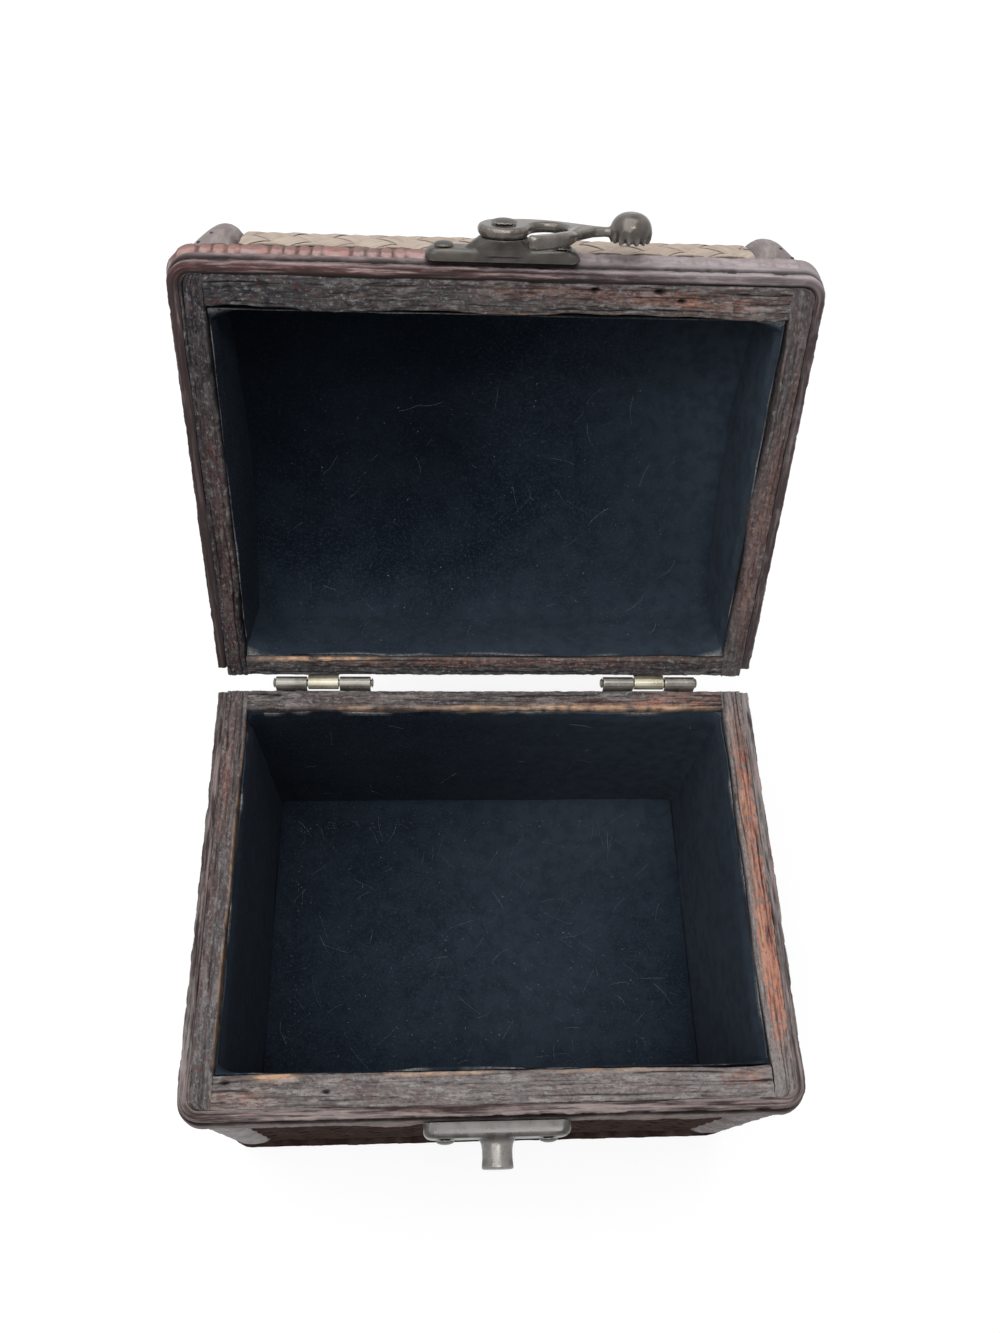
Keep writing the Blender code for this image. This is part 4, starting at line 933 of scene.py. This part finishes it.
def strips(low, high, seed):
    """Plaited strips over a rectangle (p, q), as a bmesh of (p, q, height) points."""
    rng = np.random.default_rng(seed)
    bm = bmesh.new()
    grain_layer = bm.verts.layers.float_vector.new("grain")
    tone_layer = bm.verts.layers.float.new("tone")
    crack_layer = bm.verts.layers.float.new("crack")
    centre = (np.array(low) + np.array(high)) / 2
    half = np.linalg.norm(np.array(high) - np.array(low)) / 2
    count = int(half / STRIP_PITCH) + 1
    stations = np.arange(-count * STRIP_PITCH, count * STRIP_PITCH, STRIP_PITCH / 4)
    ring = ((-1, 0), (-0.86, 0), (-0.45, 0), (0.45, 0), (0.86, 0), (1, 0), (0.8, 1), (-0.8, 1))
    for direction in (1, -1):
        along = np.array((1, direction)) / math.sqrt(2)
        across = np.array((-direction, 1)) / math.sqrt(2)
        for k in range(-count, count + 1):
            width = STRIP_WIDTH * (1 + rng.uniform(-0.05, 0.02)) / 2
            offset = k * STRIP_PITCH + rng.uniform(-0.2, 0.2)
            tone, lift = rng.uniform(0, 1), rng.uniform(-0.05, 0.05)
            wave = np.tanh(1.8 * np.cos(math.pi * (stations / STRIP_PITCH + k))) / math.tanh(1.8)
            wave = direction * STRIP_LIFT * wave + lift
            rows = []
            for station, height in zip(stations, wave):
                row = []
                # painted shade where the strip dips under its neighbours; its underside rows are painted dark as
                # well
                painted_shade_below = 0.25 * smooth(0.1, -0.3, height)
                for a, under in ring:
                    p, q = centre + along * station + across * (offset + a * width)
                    h = height - STRIP_THICKNESS * under - STRIP_CROWN * (1 - under) * a * a * 2
                    v = bm.verts.new((p, q, h))
                    v[grain_layer] = (station, a * width, k * 3.1 + direction * 40)
                    v[tone_layer] = tone
                    v[crack_layer] = float(max(0.5 * (abs(a) > 0.95), painted_shade_below, under))
                    row.append(v)
                rows.append(row)
            for row, ahead in zip(rows, rows[1:]):
                for j in range(len(ring)):
                    following = (j + 1) % len(ring)
                    bm.faces.new((row[j], row[following], ahead[following], ahead[j]))
            bm.faces.new(rows[0])
            bm.faces.new(rows[-1])
    return bm


def clip(bm, outline):
    """Cuts the strips to a convex outline of (p, q) points, given in the anticlockwise direction."""
    for (p, q), (p_next, q_next) in zip(outline, np.roll(outline, -1, axis=0)):
        edge = np.array((p_next - p, q_next - q))
        if np.linalg.norm(edge) < 1e-6:
            continue
        everything = bm.verts[:] + bm.edges[:] + bm.faces[:]
        bmesh.ops.bisect_plane(bm, geom=everything, dist=1e-5, plane_co=(p, q, 0),
                               plane_no=(edge[1], -edge[0], 0), clear_outer=True)
    border = [edge for edge in bm.edges if edge.is_boundary]
    bmesh.ops.holes_fill(bm, edges=border, sides=0)


def add_mat(node, outline, place, material, seed):
    """A plaited mat over an outline of (p, q) points, put on the chest by place(p, q, height)."""
    outline = np.asarray(outline, float)
    bm = strips(outline.min(0), outline.max(0), seed)
    clip(bm, outline)
    mesh = bpy.data.meshes.new(node + "_plait")
    flat = np.array([v.co for v in bm.verts])
    for v, co in zip(bm.verts, place(*flat.T) * MM):
        v.co = co
    bmesh.ops.recalc_face_normals(bm, faces=bm.faces)
    bm.to_mesh(mesh)
    bm.free()
    if BODY_OF[node] == "lid":
        mesh.transform(OPEN_LID)
    mesh.shade_smooth()
    mesh.set_sharp_from_angle(angle=math.radians(50))
    place_piece(linked_object(node + "_plait", mesh), BODY_OF[node], material, node)


def rectangle(half, bottom, top):
    return [(-half, bottom), (half, bottom), (half, top), (-half, top)]


def add_mats(tan, brown):
    middle = END_MAT_FACE - STRIP_LIFT
    walls = ("front", 1, -1, 1), ("back", 1, 1, 2), ("left", 0, -1, 3), ("right", 0, 1, 4)
    for name, axis, side, seed in walls:
        reach = (HALF_DEPTH, HALF_WIDTH)[axis] - CORNER_LEG - SEAM
        wall = on_wall(axis, side, (HALF_WIDTH, HALF_DEPTH)[axis] + middle)
        add_mat(f"base_{name}_mat", rectangle(reach, WALL_LOW, WALL_HIGH), wall, brown, seed)
    rise = RIM_BINDING + SEAM
    line = barrel(0, rise, 0.5)
    length, normal = run_length(line), path_normals(line)

    def over(p, q, h):
        proud = LID_MAT_FACE - STRIP_LIFT + h
        y, z = (np.interp(q, length, at) + proud * np.interp(q, length, out)
                for at, out in zip(line.T, normal.T))
        return triples(p, y, z)

    half_length = HALF_WIDTH - EDGE_FLANGE - SEAM
    add_mat("lid_barrel_mat", rectangle(half_length, 0, length[-1]), over, tan, 5)
    under = LID_MAT_FACE - 2 * STRIP_LIFT - STRIP_THICKNESS
    corners = np.array(rectangle(half_length, SEAM, under))
    sheet = line[:, None, :] + normal[:, None, :] * corners[None, :, 1:]
    points = triples(corners[None, :, 0], sheet[..., 0], sheet[..., 1])
    ground = lattice_object("lid_barrel_ground", points, "lid")
    place_piece(ground, "lid", brown)
    arched = barrel(-EDGE_SIDE_DROP - SEAM, rise, 4.0)[::-1]
    for side, name, seed in ((-1, "left", 6), (1, "right", 7)):
        add_mat(f"lid_{name}_mat", arched, on_wall(0, side, HALF_WIDTH + middle), tan, seed)


# Felt linings


def felt_swell(u, v, seed, strength=0.3):
    return strength * noise(u * 0.05, v * 0.05, seed, 3) + 0.07 * noise(u * 0.9, v * 0.9, seed + 2, 2)


def fillet(share):
    """The rise of a round inside corner, as share goes from 0 to 1 at the wall."""
    return 1 - np.sqrt(1 - 0.96 * share ** 2)


def felt_card(node, u, bottom, top, place, felt, seed, painted_light):
    """A felt sheet with a wavy upper edge. place(u, height, outward) puts its points on the chest.

    painted_light is the light painted onto the felt at each end of u; below 0 it paints shade.
    """
    share = there_and_back(0, 1, CARD_ROWS)
    inward = np.repeat((FELT_FACE, FELT_BACK), CARD_ROWS)
    inward[CARD_ROWS[0] - 1:CARD_ROWS[0] + 1] = 0.9, 0.35
    u_grid = np.broadcast_to(u[:, None], (len(u), len(share)))
    wave = 0.75 * line_noise(u, 0.06, seed, 3) + 0.2 * line_noise(u, 0.6, seed + 2, 3)
    height = bottom[:, None] + share[None] * (top + wave - bottom)[:, None]
    curl = 0.5 * smooth(0.9, 1, share)[None] * line_noise(u_grid, 0.06, seed + 8, 2)
    edge = (bottom if BODY_OF[node] == "lid" else top + wave)[:, None]
    body = inward[None] * (0.3 + 0.7 * smooth(0.3, 5, np.abs(height - edge)))
    body = body + felt_swell(u_grid, height, seed + 4) + np.maximum(curl, -0.2)
    if node in ("base_front_lining", "base_back_lining"):
        near_end = np.clip((np.abs(u_grid) - u.max() + 6) / 6, 0, 1)
        body = body + 3.5 * fillet(near_end) * smooth(-1, 0.8, top[:, None] - height)
    points = place(u_grid, height, -np.where(inward[None] > 0.5, body, FELT_BACK))
    patchy = smooth(-0.2, 0.6, line_noise(u_grid, 0.08, seed, 3))
    fray = smooth(0.7, 0, np.abs(height - edge)) * patchy * (np.abs(u_grid) < u.max() - 5)
    values = {"fray": fray, "painted_light": np.interp(u_grid, (u[0], u[-1]), painted_light)}
    obj = stand_in(node, "_felt", points, values, felt, sharp=60)


def add_base_linings(felt):
    """Felt on the four walls and the floor of the base."""
    # Each wall's painted light at its two ends: lighter towards the right, with painted shade at the back wall's
    # left end
    for name, axis, side, count, seed, painted_light in (
            ("front", 1, -1, 190, 3, (0.1, 0.1)), ("back", 1, 1, 190, 5, (-0.4, 0.75)),
            ("left", 0, -1, 140, 7, (0.25, 0.25)), ("right", 0, 1, 140, 9, (0.62, 0.68))):
        node = f"base_{name}_lining"
        low, high = shut_box(node)
        start, end = low[1 - axis], high[1 - axis]
        u, bottom, top = np.linspace(start, end, count), np.full(count, low[2]), np.full(count, high[2])
        wall = on_wall(axis, side, max(-low[axis], high[axis]))
        felt_card(node, u, bottom, top, wall, felt, seed, painted_light)
    low, high = shut_box("base_floor_card")
    u = np.linspace(low[0], high[0], 130)
    v = there_and_back(low[1], high[1], FLOOR_ROWS)
    upper = np.repeat((True, False), FLOOR_ROWS)[None]
    u_grid, v_grid = np.broadcast_arrays(u[:, None], v[None])
    edge = np.minimum(high[0] - np.abs(u_grid), np.minimum(high[1] - v_grid, v_grid - low[1]))
    puff = felt_swell(u_grid, v_grid, 21, 0.35) + 3 * fillet(np.clip(1 - edge / 5, 0, 1))
    z = np.where(upper, high[2] - 0.3 + puff, low[2])
    # painted light on the floor: paler in the middle and towards the right and back, darker at the edges
    painted_light = 0.08 + 0.2 * bell(u_grid, 20, 38)
    painted_light = painted_light + 0.35 * smooth(-10, 60, u_grid) * smooth(10, 48, v_grid)
    values = {"painted_light": painted_light, "fray": 0.0}
    obj = stand_in("base_floor_card", "_felt", triples(u_grid, v_grid, z), values, felt, sharp=60)


def add_lid_linings(felt):
    """One felt sheet bent round inside the barrel, and one on each end."""
    reach = shut_box("lid_barrel_lining")[1][0]
    line = lined_barrel(BOARD + SEAM, LINING_DROP, 1.2)
    normal = path_normals(line)
    s = run_length(line)[:, None]
    edge = np.minimum(s, s[-1] - s)
    x = there_and_back(-reach, reach, BARREL_ROWS)
    inward = np.repeat((FELT_FACE, BARREL_FELT_BACK), BARREL_ROWS)[None]
    s_grid, x_grid = np.broadcast_arrays(s, x[None])
    corner = fillet(np.clip((np.abs(x_grid) - reach + 13) / 13, 0, 1))
    body = inward * (0.3 + 0.7 * smooth(0.3, 5, edge)) + felt_swell(s_grid, x_grid, 33) * smooth(0, 3, edge)
    body = body + corner * (4 * smooth(0, 0.8, edge) + 3 * smooth(0, 9, edge))
    depth = np.where(inward > 0.5, body, inward)
    yz = line[:, None, :] - normal[:, None, :] * depth[..., None]
    points = triples(x_grid, yz[..., 0], yz[..., 1])
    near_rim = bell(s, 0, 2.5) + bell(s, s[-1], 2.5)
    points[..., 2] += near_rim * 0.7 * line_noise(x, 0.07, 31, 3)[None]
    at_edge = bell(s, 0, 0.6) + bell(s, s[-1], 0.6)
    fray = at_edge * smooth(-0.2, 0.6, line_noise(x, 0.08, 37, 3))[None]
    across, over = x_grid / reach, s / s[-1]
    # painted light on the barrel's right side and painted shade on its left, lighter towards the hinge end
    painted_light = 0.75 * np.clip((across - 0.15) / 0.85, 0, 1) ** 1.6 - 0.65 * smooth(0.25, -0.25, across)
    painted_light = painted_light * (1 - 0.85 * smooth(0.4, 0.85, over)) + 0.33 * smooth(0.5, 1, over)
    obj = stand_in("lid_barrel_lining", "_felt", points, {"fray": fray, "painted_light": painted_light}, felt, sharp=60)
    rim = LID_RIM + LINING_DROP
    # the right end lining gets painted light, the left none
    for side, name, seed, painted_light in ((-1, "left", 41, (0.0, 0.0)), (1, "right", 43, (1.0, 0.7))):
        node = f"lid_{name}_lining"
        low, high = shut_box(node)
        arch_y, arch_z = lined_barrel(HALF_DEPTH - high[1], LINING_DROP, 0.8).T
        u = np.linspace(low[1] + 0.01, high[1] - 0.01, 110)
        crest = np.interp(u, arch_y + 1e-4 * np.arange(len(arch_y)) / len(arch_y), arch_z)
        crest = np.maximum(crest, EAVES - 6)
        wall = on_wall(0, side, max(abs(low[0]), abs(high[0])))
        felt_card(node, u, rim + 0.5 * line_noise(u, 0.07, seed, 3), crest, wall, felt, seed,
                  painted_light)


def add_lint(material):
    """Fine hairs and specks of lint on the felt."""
    rng = np.random.default_rng(77)
    floor = shut_box("base_floor_card")[1][2] + 0.12
    back = shut_box("base_back_lining")[0][1] - 0.3
    barrel_line = lined_barrel(BOARD + SEAM + 1.5, LINING_DROP)
    barrel_run = run_length(barrel_line)

    def on_floor(p, q):
        return triples(p, q, floor)

    def on_back(p, q):
        return triples(p, back, q)

    def on_lid(p, q):
        return triples(p, *(np.interp(q, barrel_run, column) for column in barrel_line.T))

    grounds = (
        ("base_floor_lint", "base", on_floor, (-70, 70), (-48, 48), 90, 260),
        ("base_back_lint", "base", on_back, (-68, 68), (26, 94), 14, 30),
        ("base_back_seam_lint", "base", on_floor, (-66, 62), (43, 46), 3, 60),
        ("base_left_seam_lint", "base", on_floor, (-69, -65), (-44, 44), 4, 60),
        ("lid_lint", "lid", on_lid, (-64, 64), (0.35 * barrel_run[-1], barrel_run[-1] - 6), 34, 150),
    )
    for name, body, place, p_range, q_range, hairs, specks in grounds:
        verts, faces = [], []
        for _ in range(hairs):
            line = [np.array((rng.uniform(*p_range), rng.uniform(*q_range)))]
            turn, bend = rng.normal(1.6, 0.9), rng.normal(0, 0.05)
            for _ in range(int(rng.integers(3, 13))):
                turn += bend + rng.uniform(-0.08, 0.08)
                line.append(line[-1] + 0.95 * np.array((math.cos(turn), math.sin(turn))))
            line = np.clip(np.array(line), (p_range[0], q_range[0]), (p_range[1], q_range[1]))
            add_tube(verts, faces, place(*line.T), rng.uniform(0.012, 0.024))
        for _ in range(specks):
            at = np.array([[rng.uniform(*p_range), rng.uniform(*q_range)]] * 3)
            turn, length = rng.uniform(0, 2 * math.pi), rng.uniform(0.05, 0.3)
            at += np.outer((-1, 0, 1), (math.cos(turn), math.sin(turn))) * length
            add_tube(verts, faces, place(*at.T), rng.uniform(0.03, 0.11) * rng.uniform(0.5, 1.2))
        obj = mesh_object(name, verts, faces, body)
        place_piece(obj, body, material)


def add_tube(verts, faces, middle, radius, sides=5):
    """Adds a thin closed tube along a line of points."""
    along = np.gradient(middle, axis=0)
    along /= np.maximum(np.linalg.norm(along, axis=1, keepdims=True), 1e-9)
    across = np.cross(along, (0.31, 0.53, 0.79))
    across /= np.linalg.norm(across, axis=1, keepdims=True)
    other = np.cross(along, across)
    angle = (2 * math.pi * np.arange(sides) / sides)[:, None]
    taper = np.full(len(middle), radius)
    taper[[0, -1]] *= 0.5
    add_rings(verts, faces, [centre + size * (np.cos(angle) * first + np.sin(angle) * second)
                             for centre, size, first, second in zip(middle, taper, across, other)])


# Cast and rolled metal


def edge_wear(mesh):
    """How far each point stands out from its neighbours, from 0 in hollows and on flats to 1 on edges."""
    count = len(mesh.vertices)
    co, normal = np.empty(count * 3), np.empty(count * 3)
    edges = np.empty(len(mesh.edges) * 2, np.int32)
    mesh.vertices.foreach_get("co", co)
    mesh.vertices.foreach_get("normal", normal)
    mesh.edges.foreach_get("vertices", edges)
    co, normal, edges = co.reshape(-1, 3), normal.reshape(-1, 3), edges.reshape(-1, 2)
    bulge, degree = np.zeros(count), np.zeros(count)
    for a, b in ((0, 1), (1, 0)):
        step = co[edges[:, b]] - co[edges[:, a]]
        step /= np.maximum(np.linalg.norm(step, axis=1, keepdims=True), 1e-12)
        np.add.at(bulge, edges[:, a], -(step * normal[edges[:, a]]).sum(1))
        np.add.at(degree, edges[:, a], 1)
    return smooth(0.04, 0.26, bulge / np.maximum(degree, 1))


def cast_copy(node, voxel, rounds, material, highlight_length=0.0):
    """A softened copy of a metal node, with rounded edges as a casting has, in the node's place.

    highlight_length is the length at its front that gets a painted highlight.
    """
    source = frame["nodes"][node]
    obj = linked_object(node + "_cast", source.data.copy())
    remesh = obj.modifiers.new("Skin", "REMESH")
    remesh.mode = "VOXEL"
    remesh.voxel_size = voxel * MM
    soften = obj.modifiers.new("Soften", "SMOOTH")
    soften.factor = 0.5
    soften.iterations = rounds
    graph = bpy.context.evaluated_depsgraph_get()
    mesh = bpy.data.meshes.new_from_object(obj.evaluated_get(graph))
    obj.modifiers.clear()
    obj.data = mesh
    values = edge_wear(mesh)
    if highlight_length:
        y = np.array([(source.matrix_world @ vertex.co).y for vertex in mesh.vertices]) / MM
        # painted highlight on the stud's front, carried in the wear mark
        values = np.maximum(values, STUD_PAINTED_HIGHLIGHT * smooth(y.min() + highlight_length, y.min() + highlight_length - 1.5, y))
    mesh.attributes.new("wear", "FLOAT", "POINT").data.foreach_set("value", values.astype(np.float32))
    mesh.shade_smooth()
    place_piece(obj, BODY_OF[node], material, node)


def add_metal():
    for node in BODY_OF:
        voxel = 0.2 if "screw" in node else 0.3
        if node.startswith("hinge"):
            brass = METALS["aged_brass" if "lid_leaf" in node else "dull_brass"]
            cast_copy(node, 0.22 if node.endswith("leaf") else 0.16, 2, brass)
        elif node == "latch_hook":
            cast_copy(node, voxel, 5, METALS["antique_bronze"])
        elif node.startswith("latch"):
            cast_copy(node, voxel, 3, METALS["dark_bronze"])
        elif node.startswith("strike"):
            cast_copy(node, voxel, 3, METALS["pale_bronze"], STUD_HIGHLIGHT_LENGTH if node == "strike_plate" else 0)


# Stage, light and camera

CAMERA_AT_M = Vector((-0.0178, -0.0891, 0.4088))
CAMERA_DOWN = math.radians(62.42)
CAMERA_YAW = math.radians(-7.85)
CAMERA_ROLL = math.radians(7.12)
FOCAL_PIXELS = 1067.8
FRAME_HEIGHT_PIXELS = 1333
SENSOR_HEIGHT = 36
CLIP_START_M = 0.01

FLOOR_SIZE_M = 6
FLOOR_COLOUR = (0.86, 0.86, 0.86, 1)
SEEN_FLOOR_COLOUR = (0.22, 0.22, 0.22, 1)
SEEN_FLOOR_GLOW = 0.82
SKY_COLOUR = (0.94, 0.97, 1, 1)
SKY_STRENGTH = 0.3
WHITE = (1, 1, 1, 1)

# Each lamp's name, then its place, target and size in metres, and its power in watts
LAMPS = (
    ("overhead", (-0.2, 0.1, 1.1), (0, 0.03, 0.1), (1.7, 1.0), 13.2),
    ("sparkle", (0.12, -0.2, 1.0), (0, 0.03, 0.15), (0.16, 0.16), 1.6),
)


def add_camera():
    data = bpy.data.cameras.new("camera")
    data.sensor_fit = "VERTICAL"
    data.sensor_height = SENSOR_HEIGHT
    data.lens = FOCAL_PIXELS / FRAME_HEIGHT_PIXELS * SENSOR_HEIGHT
    data.clip_start = CLIP_START_M
    camera = linked_object("camera", data)
    tilt = Matrix.Rotation(math.pi / 2 - CAMERA_DOWN, 4, "X")
    turn = Matrix.Rotation(CAMERA_YAW, 4, "Z") @ tilt @ Matrix.Rotation(CAMERA_ROLL, 4, "Z")
    camera.matrix_world = Matrix.Translation(CAMERA_AT_M) @ turn
    bpy.context.scene.camera = camera


def add_lamp(name, at, target, size, power):
    data = bpy.data.lights.new(name, "AREA")
    data.shape = "RECTANGLE"
    data.size, data.size_y = size
    data.energy = power
    lamp = linked_object(name, data)
    lamp.location = at
    lamp.rotation_euler = (Vector(target) - Vector(at)).to_track_quat("-Z", "Y").to_euler()


def seen_white(owner, output_kind, lit, white):
    """Ends a node tree that is white to the camera and to clear or shiny surfaces, and lit for all else."""
    path = owner.node_tree.nodes.new("ShaderNodeLightPath")
    seen = calc(owner, "ADD", path.outputs["Is Camera Ray"], path.outputs["Is Glossy Ray"])
    seen = calc(owner, "ADD", seen, path.outputs["Is Transmission Ray"])
    shader = add_node(owner, "ShaderNodeMixShader", {0: seen, 1: lit, 2: white})
    output = owner.node_tree.nodes.new(output_kind)
    owner.node_tree.links.new(shader, output.inputs["Surface"])


def add_stage():
    bpy.ops.mesh.primitive_plane_add(size=FLOOR_SIZE_M)
    floor = bpy.context.object
    floor.name = "floor"
    material = bpy.data.materials.new("floor")
    material.use_nodes = True
    material.node_tree.nodes.clear()
    lit = add_node(material, "ShaderNodeBsdfDiffuse", {"Color": FLOOR_COLOUR})
    half = add_node(material, "ShaderNodeBsdfDiffuse", {"Color": SEEN_FLOOR_COLOUR})
    glow = add_node(material, "ShaderNodeEmission", {"Color": WHITE, "Strength": SEEN_FLOOR_GLOW})
    white = add_node(material, "ShaderNodeAddShader", {0: half, 1: glow})
    seen_white(material, "ShaderNodeOutputMaterial", lit, white)
    floor.data.materials.append(material)
    world = bpy.context.scene.world or bpy.data.worlds.new("world")
    bpy.context.scene.world = world
    world.use_nodes = True
    world.node_tree.nodes.clear()
    lit = add_node(world, "ShaderNodeBackground", {"Color": SKY_COLOUR, "Strength": SKY_STRENGTH})
    white = add_node(world, "ShaderNodeBackground", {"Color": WHITE, "Strength": 1.0})
    seen_white(world, "ShaderNodeOutputWorld", lit, white)
    for lamp in LAMPS:
        add_lamp(*lamp)
    bpy.context.scene.view_settings.view_transform = "Standard"


def main():
    add_camera()
    add_stage()
    add_boards(wood_material(), wood_material("inner_wood", made=False))
    leather = leather_material("worn_leather", (0.06, 0.045, 0.046), (0.38, 0.335, 0.345), 0.12)
    dark_leather = leather_material("dark_leather", (0.026, 0.017, 0.015), (0.28, 0.262, 0.255), 0.0)
    foot_leather = leather_material("foot_leather", (0.02, 0.014, 0.012), (0.07, 0.058, 0.054), 0.0)
    pale_leather = leather_material("pale_leather", (0.11, 0.091, 0.088), (0.345, 0.307, 0.298), 0.15)
    rim_binding("lid_rim_binding", leather, 3)
    rim_binding("base_rim_binding", dark_leather, 19)
    add_foot(foot_leather)
    add_corner_straps(pale_leather, dark_leather)
    add_edge_bindings(pale_leather)
    tan = weave_material("tan_cane", (0.33, 0.255, 0.2), (0.55, 0.46, 0.39), (0.13, 0.095, 0.072), 0.2)
    brown = weave_material("brown_cane", (0.034, 0.022, 0.019), (0.095, 0.066, 0.059),
                           (0.012, 0.008, 0.007), 0.0)
    add_mats(tan, brown)
    felt = felt_material()
    add_base_linings(felt)
    add_lid_linings(felt)
    add_lint(lint_material())
    add_metal()


main()
